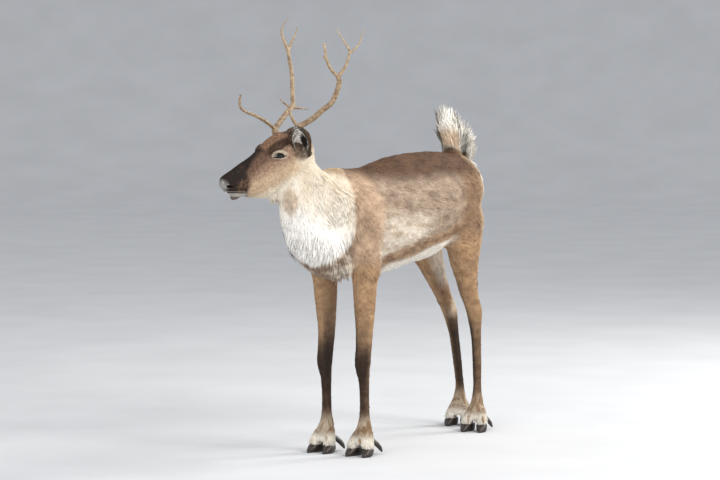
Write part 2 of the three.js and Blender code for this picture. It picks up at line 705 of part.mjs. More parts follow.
const neckAndTrunk = union([trunk.solid(24, 1), neckCore, ...ruffLocks(), ...Object.values(legSolids)]);
const [front, rear] = split(neckAndTrunk, NECK_CUT);
let torso = rear;

// A box round one leg between two heights, from the middle plane outwards
const legBox = (leg, top, bottom) => {
  const [long, wide] = [420, 240];
  const box = new THREE.BoxGeometry(long, wide, top - bottom);
  box.translate(leg.foot.x + 60, (Math.sign(leg.foot.y) * wide) / 2, (top + bottom) / 2);
  return solid(box);
};

for (const [name, leg] of Object.entries(legs)) {
  const fore = name.startsWith("fore");
  const [top, middle, low] = leg.cuts;
  const levels = [
    [top, middle, fore ? "forearm" : "shank"],
    [middle, low, "cannon"],
    [low, CORONET - 5, "foot"],
  ];
  for (const [from, to, part] of levels) {
    const length = legSolids[name].intersect(legBox(leg, from - GAP / 2, to + GAP / 2));
    add(`${name}_${part}`, length, part === "foot" ? "foot" : "leg");
  }
  torso = torso.subtract(legBox(leg, top + GAP / 2, -20));
  for (const toe of [1, -1]) {
    const where = toe === Math.sign(leg.foot.y) ? "outer" : "inner";
    add(`${name}_hoof_${where}`, hoofSolid(leg, toe), "horn");
    const claw = dewclawSolid(leg, toe).subtract(leg.form.solid(12, 1, -6));
    add(`${name}_dewclaw_${where}`, claw, "horn");
  }
}

const [headHalf] = split(union([head, neckCore]), HEAD_CUT);
const neckHalf = split(front.subtract(onHead(skull.solid(20, 1, GAP))), HEAD_CUT)[1];
const carrier = union([onHead(skull.solid(20, 1, GAP)), neck.solid(22, 1, GAP), crest.solid(20, 1, GAP)]);

const tail = union(tailPieces());
const [tailTop] = split(tail, TAIL_SEAT);
add("torso", torso.subtract(tail.intersect(beyond(TAIL_SEAT.at, TAIL_SEAT.normal))), "back");
add("neck", neckHalf, "pale");
add("head", headHalf, "face");
add("tail", tailTop.subtract(trunk.solid(24, 1, GAP)), "white");
for (const [side, sign] of [["left", 1], ["right", -1]]) {
  add(`eye_${side}`, onHead(eyeball(sign)), "eye");
  add(`ear_${side}`, earSolid(ears[side]).subtract(carrier), "face");
  for (const [name, piece] of Object.entries(antlerPieces(side, carrier))) {
    add(name, piece, "antler");
  }
}

// The origin is on the floor under the middle of the whole
const middle = new THREE.Box3().setFromObject(group).getCenter(vec(0, 0, 0));
group.position.set(-middle.x, -middle.y, 0);

export default group;
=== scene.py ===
import math

import bmesh
import bpy
import numpy as np
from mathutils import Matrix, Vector


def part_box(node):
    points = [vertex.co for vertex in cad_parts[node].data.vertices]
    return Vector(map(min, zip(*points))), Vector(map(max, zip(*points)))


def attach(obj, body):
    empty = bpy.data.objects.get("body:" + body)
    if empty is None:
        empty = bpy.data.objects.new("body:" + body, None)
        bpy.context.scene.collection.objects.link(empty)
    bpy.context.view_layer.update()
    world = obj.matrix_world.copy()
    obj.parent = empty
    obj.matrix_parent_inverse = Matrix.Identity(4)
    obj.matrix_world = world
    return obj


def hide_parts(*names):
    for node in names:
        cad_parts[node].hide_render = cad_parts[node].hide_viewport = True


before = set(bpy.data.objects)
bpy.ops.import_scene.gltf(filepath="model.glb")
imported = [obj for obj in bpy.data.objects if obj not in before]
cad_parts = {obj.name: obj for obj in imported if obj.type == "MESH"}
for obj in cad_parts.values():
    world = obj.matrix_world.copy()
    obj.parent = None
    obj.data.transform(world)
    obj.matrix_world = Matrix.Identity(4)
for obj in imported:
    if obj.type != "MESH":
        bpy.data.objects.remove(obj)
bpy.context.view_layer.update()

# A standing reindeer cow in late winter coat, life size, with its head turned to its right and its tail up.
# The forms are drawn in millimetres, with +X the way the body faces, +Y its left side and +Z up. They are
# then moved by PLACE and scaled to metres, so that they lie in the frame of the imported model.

MM = 0.001
WITHERS = 932  # height of the withers in the coat
BACK = 967  # height of the back and croup
BELLY = 592
BUTTOCK_X = -360
BARREL = 156  # half the width of the trunk at its widest
FORE_X = 356  # where the fore legs stand
FORE_Y = 74  # half the distance between the fore legs
HIND_Y = 65
FOOT_LOW, FOOT_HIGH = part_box("fore_left_cannon")
PLACE = np.array([
    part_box("torso")[0].x / MM - BUTTOCK_X,
    (FOOT_LOW.y + FOOT_HIGH.y) / 2 / MM - FORE_Y,
    0.0,
])
VOXEL = 5.5  # grain of the skin
FINE_VOXEL = 1.7  # grain of the antlers

# How deep the coat lies on the skin, by part
COAT = {"trunk": 8, "neck": 5, "leg": 3, "toe": 2, "head": 2.2}

rng = np.random.default_rng(11)


def to_frame(points):
    """Points of the drawing, in millimetres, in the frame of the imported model, in metres."""
    return (np.asarray(points, float) + PLACE) * MM


def smooth(x, low, high):
    """0 below low, 1 above high and an even rise between them; low may be the larger."""
    t = np.clip((np.asarray(x, float) - low) / (high - low), 0, 1)
    return t * t * (3 - 2 * t)


def unit(vectors):
    """Vectors brought to length 1."""
    size = np.linalg.norm(vectors, axis=-1, keepdims=True)
    return vectors / np.maximum(size, 1e-9)


def turn_z(degrees):
    """A turn about Z, anticlockwise seen from above."""
    c, s = math.cos(math.radians(degrees)), math.sin(math.radians(degrees))
    return np.array([[c, -s, 0], [s, c, 0], [0, 0, 1]])


def turn_y(degrees):
    """A turn about Y that lowers X."""
    c, s = math.cos(math.radians(degrees)), math.sin(math.radians(degrees))
    return np.array([[c, 0, s], [0, 1, 0], [-s, 0, c]])


# Meshes from arrays

def make_mesh(name, points, faces):
    """A smooth-shaded object; faces is a list of arrays, each of faces with the same number of corners."""
    mesh = bpy.data.meshes.new(name)
    corners = np.concatenate([f.ravel() for f in faces]).astype(np.int32)
    sizes = np.concatenate([np.full(len(f), f.shape[1]) for f in faces])
    mesh.vertices.add(len(points))
    mesh.vertices.foreach_set("co", np.asarray(points, np.float32).ravel())
    mesh.loops.add(len(corners))
    mesh.loops.foreach_set("vertex_index", corners)
    mesh.polygons.add(len(sizes))
    mesh.polygons.foreach_set("loop_start", (np.cumsum(sizes) - sizes).astype(np.int32))
    mesh.update(calc_edges=True)
    mesh.validate()
    mesh.shade_smooth()
    made = bpy.data.objects.new(name, mesh)
    bpy.context.scene.collection.objects.link(made)
    return made


def read(items, what, width=1, kind=np.float32):
    """One property of all of a mesh's items as an array."""
    values = np.empty(len(items) * width, kind)
    items.foreach_get(what, values)
    return values.reshape(-1, width) if width > 1 else values


def tube(rings, start, end):
    """Points and faces of a closed skin over rings of equal length, with a fan at either end."""
    rings = np.asarray(rings, float)
    count, sides = rings.shape[:2]
    points = np.concatenate([rings.reshape(-1, 3), [start, end]])
    i, j = np.meshgrid(np.arange(count - 1), np.arange(sides), indexing="ij")
    a, b = i * sides + j, i * sides + (j + 1) % sides
    quads = np.stack([a, b, b + sides, a + sides], -1).reshape(-1, 4)
    j = np.arange(sides)
    k = (j + 1) % sides
    last = (count - 1) * sides
    first, final = np.full(sides, count * sides), np.full(sides, count * sides + 1)
    caps = np.concatenate([np.stack([first, k, j], -1), np.stack([final, last + j, last + k], -1)])
    return points, [quads, caps]


def gather(parts):
    """One set of points and faces from several."""
    points, faces, offset = [], [], 0
    for own_points, own_faces in parts:
        points.append(own_points)
        faces.extend(f + offset for f in own_faces)
        offset += len(own_points)
    return np.concatenate(points), faces


class Form:
    """A body on named sections, each with its centre, the pitch and turn of its run, its half width, its
    reach above and below, and how much it narrows towards its crest and its keel."""

    def __init__(self, sections):
        self.rows = np.array([
            [*s["at"], s.get("pitch", 0), s.get("turn", 0), s["half"], s["above"],
             s.get("below", s["above"]), s.get("crest", 0), s.get("keel", 0)]
            for s in sections
        ], float)
        self.spans = len(sections) - 1

    def row(self, t):
        """The section at a place between the named ones; 0 is the first of them."""
        t = np.asarray(t, float)
        i = np.minimum(np.floor(t).astype(int), self.spans - 1)
        f = (t - i)[..., None]
        near = [self.rows[np.clip(i + n, 0, self.spans)] for n in (-1, 0, 1, 2)]
        p, q, rise = (near[2] - near[0]) / 2, (near[3] - near[1]) / 2, near[2] - near[1]
        return near[1] + f * (p + f * (3 * rise - 2 * p - q + f * (p + q - 2 * rise)))

    def points(self, t, angle, grow=0.0):
        """Points of the surface, moved outwards by grow."""
        row = np.moveaxis(self.row(t), -1, 0)
        x, y, z, pitch, turn, half, above, below, crest, keel = row
        p, q = np.radians(pitch), np.radians(turn)
        left = np.stack([-np.sin(q), np.cos(q), 0 * q], -1)
        up = np.stack([-np.sin(p) * np.cos(q), -np.sin(p) * np.sin(q), np.cos(p)], -1)
        c, s = np.cos(angle), np.sin(angle)
        narrow = 1 - np.where(s > 0, crest, keel) * s * s
        across = ((half * narrow + grow) * c)[..., None] * left
        rise = ((np.where(s > 0, above, below) + grow) * s)[..., None] * up
        return np.stack([x, y, z], -1) + across + rise

    def mesh(self, sides, steps, grow=0.0):
        """The closed surface, with this many steps from each named section to the next."""
        t = np.linspace(0, self.spans, self.spans * steps + 1)
        angle = 2 * np.pi * (np.arange(sides) + 0.5) / sides
        rings = self.points(t[:, None] + 0 * angle, angle + 0 * t[:, None], grow)
        return tube(rings, self.row(0)[:3], self.row(self.spans)[:3])


def moved(part, turn, shift):
    """A part, as points and faces, turned and then shifted."""
    points, faces = part
    return points @ np.asarray(turn).T + shift, faces


def ball(centre, radii, turn=0.0, sides=24):
    """A closed ellipsoid, turned about Z before it is placed."""
    rise = np.linspace(-90, 90, sides // 2 + 1)[1:-1]
    around = np.linspace(0, 2 * np.pi, sides, endpoint=False)
    rings = [
        np.stack([np.cos(around) * math.cos(math.radians(r)), np.sin(around) * math.cos(math.radians(r)),
                  np.full(sides, math.sin(math.radians(r)))], -1) * radii
        for r in rise
    ]
    low, high = np.array([0, 0, -radii[2]]), np.array([0, 0, radii[2]])
    return moved(tube(rings, low, high), turn_z(turn), centre)


def spline(points, count):
    """A smooth curve through points, at even steps of its own count."""
    points = np.asarray(points, float)
    form = Form([{"at": p, "half": 0, "above": 0} for p in points])
    return form.row(np.linspace(0, len(points) - 1, count))[:, :3]


def bar(points, radii, sides=14, steps=5, flat=1.0, flat_axis=(0, 1, 0)):
    """A round or flattened bar through points, with a radius at each of them."""
    count = (len(points) - 1) * steps + 1
    line = spline(points, count)
    along = unit(np.gradient(line, axis=0))
    side = unit(np.cross(along, flat_axis))
    thin = np.cross(along, side)
    radius = np.interp(np.linspace(0, 1, count), np.linspace(0, 1, len(radii)), radii)
    around = 2 * np.pi * np.arange(sides) / sides
    rings = [
        line[i] + radius[i] * (np.outer(np.cos(around), side[i]) + flat * np.outer(np.sin(around), thin[i]))
        for i in range(count)
    ]
    return tube(rings, line[0], line[-1])


# Trunk, crest of the neck and neck

TRUNK = Form([
    {"at": [BUTTOCK_X, 0, 836], "half": 52, "above": 50, "below": 78},
    {"at": [BUTTOCK_X + 16, 0, 836], "half": 94, "above": 88, "below": 124},
    {"at": [BUTTOCK_X + 54, 0, 832], "half": 120, "above": 122, "below": 142},
    {"at": [-240, 0, 818], "half": 130, "above": 145, "below": 165, "crest": 0.12},
    {"at": [-160, 0, 802], "half": 140, "above": BACK - 800, "below": 178, "crest": 0.2},
    {"at": [-80, 0, 787], "half": 150, "above": BACK - 785, "below": 187, "crest": 0.2},
    {"at": [0, 0, 777], "half": BARREL, "above": BACK - 778, "below": 777 - BELLY, "crest": 0.2},
    {"at": [90, 0, 767], "half": BARREL, "above": 191, "below": 187, "crest": 0.22},
    {"at": [180, 0, 757], "half": 148, "above": 187, "below": 190, "crest": 0.28, "keel": 0.08},
    {"at": [260, 0, 752], "half": 136, "above": 178, "below": 185, "crest": 0.34, "keel": 0.16},
    {"at": [330, 0, 750], "half": 128, "above": 179, "below": 175, "crest": 0.36, "keel": 0.2},
    {"at": [388, 0, 752], "half": 122, "above": WITHERS - 752, "below": 160, "crest": 0.34, "keel": 0.2},
    {"at": [436, -6, 762], "half": 112, "above": 173, "below": 140, "crest": 0.3, "keel": 0.18},
    {"at": [476, -14, 770], "half": 96, "above": 148, "below": 120, "crest": 0.2},
    {"at": [510, -22, 780], "half": 60, "above": 85, "below": 80},
])

CREST = Form([
    {"at": [350, 0, 800], "pitch": 20, "half": 70, "above": 84},
    {"at": [420, -6, 812], "pitch": 28, "half": 108, "above": 108, "below": 120},
    {"at": [468, -20, 840], "pitch": 38, "half": 102, "above": 80, "below": 112, "turn": -10},
    {"at": [506, -40, 884], "pitch": 46, "half": 84, "above": 58, "below": 96, "turn": -18},
    {"at": [532, -56, 930], "pitch": 50, "half": 68, "above": 50, "below": 80, "turn": -22},
    {"at": [542, -62, 957], "pitch": 50, "half": 40, "above": 34, "below": 44, "turn": -22},
])

NECK = Form([{**s, "pitch": -90} for s in [
    {"at": [548, -66, 997], "turn": -22, "half": 44, "above": 44, "below": 46},
    {"at": [546, -64, 967], "turn": -22, "half": 60, "above": 62},
    {"at": [541, -60, 924], "turn": -20, "half": 70, "above": 76},
    {"at": [533, -54, 880], "turn": -18, "half": 75, "above": 82, "below": 92},
    {"at": [520, -46, 832], "turn": -15, "half": 78, "above": 92, "below": 108},
    {"at": [502, -40, 777], "turn": -12, "half": 88, "above": 100, "below": 120},
    {"at": [480, -33, 720], "turn": -8, "half": 97, "above": 102, "below": 120},
    {"at": [456, -25, 670], "turn": -4, "half": 96, "above": 96, "below": 105},
    {"at": [434, -16, 628], "half": 84, "above": 82, "below": 90},
    {"at": [420, -10, 600], "half": 60, "above": 58, "below": 66},
    {"at": [410, -6, 586], "half": 30, "above": 30, "below": 34},
]])

# Legs: height, x, y, reach to the front and back, half width

FORE_ROWS = [
    [762, FORE_X + 2, 58, 52, 52, 34],
    [702, FORE_X + 8, 73, 64, 66, 40],
    [632, FORE_X + 4, 79, 64, 72, 42],
    [572, FORE_X, 78, 54, 56, 38],
    [502, FORE_X - 2, FORE_Y + 2, 44, 46, 34],
    [415, FORE_X - 4, FORE_Y, 34, 35, 29],
    [350, FORE_X, FORE_Y, 30, 30, 27],
    [304, FORE_X + 6, FORE_Y, 29, 28, 27],
    [274, FORE_X + 6, FORE_Y, 25, 26, 24],
    [240, FORE_X, FORE_Y, 20, 23, 19],
    [184, FORE_X - 3, FORE_Y, 18, 20, 17],
    [132, FORE_X - 4, FORE_Y, 19, 21, 18],
    [96, FORE_X - 3, FORE_Y, 24, 26, 24],
    [70, FORE_X + 6, FORE_Y, 24, 27, 26],
    [44, FORE_X + 16, FORE_Y, 22, 26, 24],
]
HIND_ROWS = [
    [806, -228, 66, 88, 100, 50],
    [742, -236, 80, 104, 106, 50],
    [672, -234, 84, 98, 94, 47],
    [612, -240, 82, 78, 80, 42],
    [557, -258, 76, 58, 66, 35],
    [512, -276, 71, 46, 54, 30],
    [467, -300, 68, 38, 42, 27],
    [430, -322, 67, 35, 40, 26],
    [397, -336, 66, 32, 34, 25],
    [357, -344, HIND_Y, 26, 25, 21],
    [312, -349, HIND_Y, 20, 22, 18],
    [230, -354, HIND_Y, 18, 20, 17],
    [146, -356, HIND_Y, 18, 19, 16],
    [98, -355, HIND_Y, 23, 25, 23],
    [70, -346, HIND_Y, 24, 27, 26],
    [44, -336, HIND_Y, 22, 26, 24],
]
LEGS = {
    "fore_left": {"rows": FORE_ROWS, "side": 1, "shift": 0, "foot": [FORE_X, FORE_Y, 0], "turn": 6},
    "fore_right": {"rows": FORE_ROWS, "side": -1, "shift": 0, "foot": [FORE_X, -FORE_Y, 0], "turn": 2},
    "hind_left": {"rows": HIND_ROWS, "side": 1, "shift": 0, "foot": [-352, HIND_Y, 0], "turn": 14},
    "hind_right": {"rows": HIND_ROWS, "side": -1, "shift": -95, "foot": [-452, -HIND_Y, 0], "turn": 18},
}


HIP_Z, PASTERN_Z = 812, 146  # a leg's backward shift grows between these heights


def leg_form(leg):
    """A leg whose foot may stand further back than its hip."""
    sections = []
    for z, x, y, front, back, half in leg["rows"]:
        share = np.clip((HIP_Z - z) / (HIP_Z - PASTERN_Z), 0, 1) ** 1.3
        at = [x + leg["shift"] * share, leg["side"] * y, z]
        sections.append({"at": at, "pitch": -90, "half": half, "above": front, "below": back})
    return Form(sections)


# Feet: two spreading toes with horn hooves, and two dewclaws behind

TOE_OUT = 20  # from the middle of the foot to the middle of a toe
SPLAY = 15  # degrees that each toe turns outwards
HOOF_LENGTH = 64
CORONET = 24  # height where horn gives way to hair


def on_foot(part, leg, toe=0):
    """Places a part on a foot, or on one of its toes."""
    turned = turn_z(leg["turn"])
    if toe:
        part = moved(part, turn_z(toe * SPLAY), [0, toe * TOE_OUT, 0])
    return moved(part, turned, leg["foot"])


def toe_hair(leg, toe, grow=0.0):
    """The haired part of a toe, from the foot down to its hoof."""
    form = Form([
        {"at": [-14, toe * -9, 92], "half": 12, "above": 12, "pitch": -60},
        {"at": [-6, toe * -8, 78], "half": 17, "above": 20, "pitch": -60},
        {"at": [8, toe * -3, 56], "half": 18.5, "above": 21, "pitch": -60},
        {"at": [20, 0, 38], "half": 19.5, "above": 22, "below": 24, "pitch": -65},
        {"at": [25, 0, CORONET + 2], "half": 18, "above": 22, "below": 27, "pitch": -75},
    ])
    return on_foot(form.mesh(20, 3, grow), leg, toe)


def hoof(leg, toe):
    """A hoof's horn: broad, flat below and cut level at the coronet."""
    form = Form([
        {"at": [-14, 0, 20], "half": 7, "above": 10, "below": 12},
        {"at": [-6, 0, 18], "half": 14, "above": 16, "below": 24},
        {"at": [HOOF_LENGTH * 0.3, 0, 18], "half": 18.5, "above": 20, "below": 26},
        {"at": [HOOF_LENGTH * 0.6, 0, 14], "half": 17, "above": 16, "below": 22},
        {"at": [HOOF_LENGTH * 0.84, toe * -3, 8], "half": 10.5, "above": 9, "below": 13},
        {"at": [HOOF_LENGTH * 0.98, toe * -6, 4], "half": 4, "above": 3.5, "below": 6},
    ])
    points, faces = form.mesh(36, 8)
    points[:, 2] = np.clip(points[:, 2], 0, CORONET + 1.5)
    return on_foot((points, faces), leg, toe)


def dewclaw(leg, toe):
    """A small curved claw behind the foot, on one side of it."""
    spots = np.array([[-14, 20, 50], [-30, 31, 34], [-41, 38, 20], [-47, 42, 8]], float) * [1, toe, 1]
    return on_foot(bar(spots, [9, 10.5, 9, 3.4], 18, 8, 0.65, (0, toe * 0.9, 0.45)), leg)


# Head, in its own frame: X towards the nose, Y left, Z up

HEAD_AT = np.array([560, -75, 1012.0])
HEAD_AXES = turn_z(-22) @ turn_y(24)  # its columns are the head's own axes


def on_head(part):
    """A part drawn in the head's frame, set in the drawing's."""
    return moved(part, HEAD_AXES, HEAD_AT)


def head_points(points):
    """Points of the head's frame in the drawing's."""
    return np.asarray(points, float) @ HEAD_AXES.T + HEAD_AT


def in_head(points):
    """Points of the drawing in the head's frame."""
    return (points - HEAD_AT) @ HEAD_AXES


def head_section(x, top, bottom, half, crest=0.1, keel=0.2):
    """One section of the skull, given by its top and bottom line."""
    middle = bottom + (top - bottom) * 0.56
    return {"at": [x, 0, middle], "half": half, "above": top - middle, "below": middle - bottom,
            "crest": crest, "keel": keel}


SKULL = Form([
    head_section(-60, -22, -82, 24),
    head_section(-50, 6, -98, 43),
    head_section(-30, 25, -108, 54),
    head_section(-6, 36, -118, 58),
    head_section(22, 43, -130, 60, 0.14, 0.25),
    head_section(52, 45, -143, 62, 0.16, 0.32),
    head_section(80, 40, -150, 60, 0.14, 0.4),
    head_section(108, 31, -150, 54, 0.1, 0.45),
    head_section(136, 23, -141, 47, 0.1, 0.42),
    head_section(165, 19, -123, 41, 0.1, 0.35),
    head_section(195, 17, -106, 37, 0.08, 0.3),
    head_section(222, 13, -88, 36, 0.05, 0.25),
    head_section(246, 10, -74, 36, 0, 0.15),
    head_section(264, 8, -58, 32, 0, 0.1),
    head_section(277, 2, -46, 23, 0, 0),
    head_section(284, -10, -30, 10, 0, 0),
])
EYE = {"x": 77, "y": 41, "z": -7, "forward": 16, "slope": 18, "radius": 19}
LID = 2.6  # thickness of an eyelid


def eye_at(side):
    """The middle of an eyeball in the head's frame; side is 1 on the left and -1 on the right."""
    return np.array([EYE["x"], side * EYE["y"], EYE["z"]], float)


def eye_axis(side):
    """The way an eye looks: outwards, and a little forwards and up."""
    turn = math.radians(EYE["forward"])
    return unit(np.array([math.sin(turn), side * math.cos(turn), 0.04]))


def head_parts(grow):
    """The head's masses, drawn in by grow."""
    lid = EYE["radius"] + LID + grow * 0.4
    parts = [SKULL.mesh(40, 4, grow), ball([249, 0, -71], np.array([23, 20, 12]) + grow)]
    for side in (1, -1):
        parts += [
            # the brow, the lids over the eyeball, the cheek and the side of the nose
            ball([78, side * 44, 7], np.array([31, 20, 20]) + grow, -side * 12),
            ball(eye_at(side), np.array([lid + 3, lid, lid])),
            ball([66, side * 38, -76], np.array([46, 22, 44]) + grow, -side * 8),
            ball([252, side * 20, -28], np.array([24, 18, 20]) + grow, -side * 14),
        ]
    return [on_head(p) for p in parts]


# Tail core, hips and the whole flesh

TAIL_CORE = [[-292, 2, 925], [-300, 0, 965], [-294, -8, 1008], [-277, -17, 1050]]
HIP_OUT = 62
HIPS = {
    "fore": {"x": FORE_X - 4, "z": 716, "size": [84, 58, 118]},
    "hind": {"x": -232, "z": 760, "size": [112, 66, 128]},
}


def flesh():
    """Every closed mass under the coat, each drawn in by the depth of its coat."""
    parts = [TRUNK.mesh(64, 6, -COAT["trunk"])]
    parts += [form.mesh(48, 6, -COAT["neck"]) for form in (CREST, NECK)]
    parts.append(bar(TAIL_CORE, [27, 25, 21, 11], 20, 6, 1.25))
    for name, leg in LEGS.items():
        parts.append(leg_form(leg).mesh(32, 5, -COAT["leg"]))
        parts += [toe_hair(leg, toe, -COAT["toe"]) for toe in (1, -1)]
        hip = HIPS[name[:4]]
        at = [hip["x"], leg["side"] * HIP_OUT, hip["z"]]
        parts.append(ball(at, np.array(hip["size"]) - COAT["trunk"]))
    parts += head_parts(-COAT["head"])
    return gather(parts)


def neighbours(mesh):
    """The two ends of every edge, and how many edges meet at each point."""
    edges = read(mesh.edges, "vertices", 2, np.int32)
    count = np.bincount(edges.ravel(), minlength=len(mesh.vertices))
    return edges, np.maximum(count, 1)[:, None]


def relax(points, edges, count, weight, rounds):
    """Moves each point towards the mean of its neighbours, by its own weight."""
    for _ in range(rounds):
        total = np.zeros_like(points)
        for axis in range(3):
            total[:, axis] = (
                np.bincount(edges[:, 0], points[edges[:, 1], axis], len(points))
                + np.bincount(edges[:, 1], points[edges[:, 0], axis], len(points))
            )
        points = points + weight[:, None] * (total / count - points)
    return points


def remeshed(thing, voxel):
    """The thing's mesh with its overlapping masses made one even surface."""
    modifier = thing.modifiers.new("grain", "REMESH")
    modifier.mode = "VOXEL"
    modifier.voxel_size = voxel * MM
    mesh = bpy.data.meshes.new_from_object(thing.evaluated_get(bpy.context.evaluated_depsgraph_get()))
    thing.modifiers.clear()
    thing.data = mesh
    mesh.shade_smooth()
    return mesh


def drawing(mesh):
    """A mesh's points in the drawing, in millimetres."""
    return read(mesh.vertices, "co", 3).astype(float) / MM - PLACE


def put(mesh, points):
    """Gives a mesh new points, in the drawing's millimetres."""
    mesh.vertices.foreach_set("co", to_frame(points).astype(np.float32).ravel())
    mesh.update()


def mark_points(mesh, name, values):
    """Writes a value for each point, which the markings read by its name."""
    layer = mesh.attributes.new(name, "FLOAT", "POINT")
    layer.data.foreach_set("value", np.asarray(values, np.float32))


def refine(mesh, chosen):
    """Halves every edge whose ends are both chosen."""
    work = bmesh.new()
    work.from_mesh(mesh)
    work.verts.ensure_lookup_table()
    edges = [e for e in work.edges if chosen[e.verts[0].index] and chosen[e.verts[1].index]]
    bmesh.ops.subdivide_edges(work, edges=edges, cuts=1, use_grid_fill=True)
    work.to_mesh(mesh)
    work.free()
    mesh.shade_smooth()


HEAD_CUT = {"at": np.array([541, -64, 942.0]), "normal": unit(np.array([0.62, -0.3, 0.72]))}


def headness(points, reach=20):
    """1 on the head, 0 on the neck and body, and between them a short blend."""
    ahead = (points - HEAD_CUT["at"]) @ HEAD_CUT["normal"]
    return smooth(ahead, -reach, reach) * smooth(points[:, 0], 420, 450)


# The face

SLIT = 18.6  # half the length of the slit between the lids
SUNK = 16.5  # inside the slit the skin sinks to this distance from the eye's centre, under the eyeball
LID_REACH = 42  # the lids are shaped within this distance of it


def almond(u, v):
    """About how far a point lies outside the slit between the lids, in millimetres; below 0 inside it."""
    along = np.clip(u / SLIT, -1, 1)
    upper = (1 - np.abs(along) ** 2.2) * (11.2 + 4.6 * along) - 5.4
    lower = (1 - along ** 2) * -1.0 - 5.4
    return np.maximum(np.maximum(v - upper, lower - v), np.abs(u) - SLIT)


def shape_lids(q, side):
    """Presses the skin onto the eyeball as two lids with an open slit, with a fold above them."""
    centre, axis = eye_at(side), eye_axis(side)
    away = q - centre
    radius = np.linalg.norm(away, axis=1)
    facing = away @ axis / np.maximum(radius, 1e-6)
    near = smooth(facing, 0.42, 0.72) * (radius < LID_REACH)
    lid_radius = EYE["radius"] + LID
    gap, _, v = eye_gap(q, side)
    rim = 1.1 * np.exp(-((gap - 1.6) / 1.6) ** 2)
    fold = -1.3 * np.exp(-((gap - 6.2) / 1.3) ** 2) * (v > 0)
    fold -= 0.9 * np.exp(-((gap - 6.5) / 1.3) ** 2) * (v < 0)
    wanted = lid_radius + rim + fold - (lid_radius - SUNK) * smooth(gap, 0.5, -0.9)
    wanted = radius + (wanted - radius) * near
    return centre + away * (wanted / np.maximum(radius, 1e-6))[:, None]


def eye_gap(q, side):
    """How far each point lies outside the slit between the lids, whether it is near that eye, and its
    height over the slit's long axis."""
    centre, axis = eye_at(side), eye_axis(side)
    away = q - centre
    slope = math.radians(EYE["slope"])
    long_axis = np.array([math.cos(slope), 0, math.sin(slope)])
    long_axis = unit(long_axis - (long_axis @ axis) * axis)
    up = np.cross(long_axis, axis) * side
    near = (away @ axis > 0) & (np.linalg.norm(away, axis=1) < 40)
    return almond(away @ long_axis, away @ up), near, away @ up


def nostril_slit(q, side):
    """1 at the edge of a nostril and less inside it, and whether the point is near that nostril."""
    facing = unit(np.array([0.86, side * 0.5, 0.0]))
    away = q - np.array([266, side * 22, -27])
    across = away @ np.cross(facing, [0, 0, 1]) * side
    slit = np.sqrt((across / 9.5) ** 2 + ((away[:, 2] - 0.25 * across) / 5.2) ** 2)
    return slit, (away @ facing > -16) & (np.linalg.norm(away, axis=1) < 40)


MOUTH_SLOPE = 0.49


def mouth_height(q):
    """Height over the line between the lips."""
    return (q[:, 2] + 55 - MOUTH_SLOPE * (q[:, 0] - 257)) + 1.2 * np.sin((q[:, 0] - 224) / 9)


def face_marks(q, head):
    """Where the face is bare: lid rims, nostrils, the line of the mouth; and the dark rims themselves."""
    rim, nostril = np.zeros(len(q)), np.zeros(len(q))
    for side in (1, -1):
        gap, near, up = eye_gap(q, side)
        corner = near * (gap < 7) * smooth(np.abs(up + 5.2), 2.7, 1.5)
        rim = np.maximum(rim, np.maximum(near * smooth(gap, 2.4, 1.2), corner))
        slit, near = nostril_slit(q, side)
        nostril = np.maximum(nostril, near * smooth(slit, 1.15, 0.8))
    rim, nostril = rim * head, nostril * head
    mouth = (np.abs(mouth_height(q)) < 1.6) * (q[:, 0] > 222) * head
    tip = smooth(q[:, 0], 272, 278) * (np.abs(q[:, 1]) < 12) * head
    return {"rim": rim, "nostril": nostril, "bare": np.maximum.reduce([rim, nostril, mouth, tip])}


def shape_face(q, normals):
    """Nostrils, the line of the mouth, the lips and the hollow before each eye, pressed into the skin."""
    x, y, z = q.T
    depth = np.zeros(len(q))
    for side in (1, -1):
        slit, near = nostril_slit(q, side)
        depth += near * (-9 * smooth(slit, 1.0, 0.35) + 1.6 * np.exp(-((slit - 1.35) / 0.3) ** 2))
        tear = np.sqrt(((x - 106) / 12) ** 2 + ((z + 12 + 0.35 * (x - 106)) / 2.6) ** 2)
        depth += (side * y > 0) * -1.8 * smooth(tear, 1.0, 0.2)
    mouth = mouth_height(q)
    length = smooth(x, 221, 230)
    depth += length * -5.0 * np.exp(-(mouth / 1.4) ** 2)
    depth += length * 1.5 * np.exp(-((mouth - 4.0) / 2.2) ** 2)
    depth += length * 1.3 * np.exp(-((mouth + 4.4) / 2.4) ** 2)
    centre_groove = np.exp(-(y / 1.6) ** 2) * smooth(x, 266, 276) * smooth(z, -20, -30)
    depth -= 1.6 * centre_groove
    return q + normals * depth[:, None]


# Ears: a scoop with its root on the side of the head, from an outer and an inner curve at each height

EARS = {
    "left": {"root": [-8, 52, -38], "along": [0.16, 0.38, 0.9], "facing": [0.62, 0.78, 0]},
    "right": {"root": [-18, -52, -38], "along": [-0.82, -0.5, 0.27], "facing": [0.3, -0.92, -0.2]},
}
EAR_ROWS = [
    # height, half width, depth behind and in front, half width and depth of the cup
    [-16, 17, 14, 12, 13, -11],
    [4, 21, 17, 15, 16, -9],
    [14, 23.5, 18, 16, 18, 7],
    [24, 26, 18.5, 16, 22, 13],
    [36, 29, 19, 15, 25.5, 14.5],
    [60, 31, 16, 11, 27.5, 11.5],
    [82, 24, 11, 7, 20.5, 7],
    [96, 12.5, 6, 4, 9, 2.6],
    [102, 4.5, 2.4, 2, 1.5, 0.4],
]


# the hole is painted near black: painted shade in the depth of the cup
EAR_HOLE = {"across": 10, "height": 30, "half": [11, 26]}  # its dark depth, behind the pale hair
OUTER, INNER = 30, 26  # points round the outside and round the cup of each ring of an ear


def ear_axes(ear):
    """An ear's own axes, as columns: the way its cup faces, across it and up along it."""
    up = unit(np.array(ear["along"], float))
    face = np.array(ear["facing"], float)
    face = unit(face - (face @ up) * up)
    return np.stack([face, np.cross(up, face), up], -1)


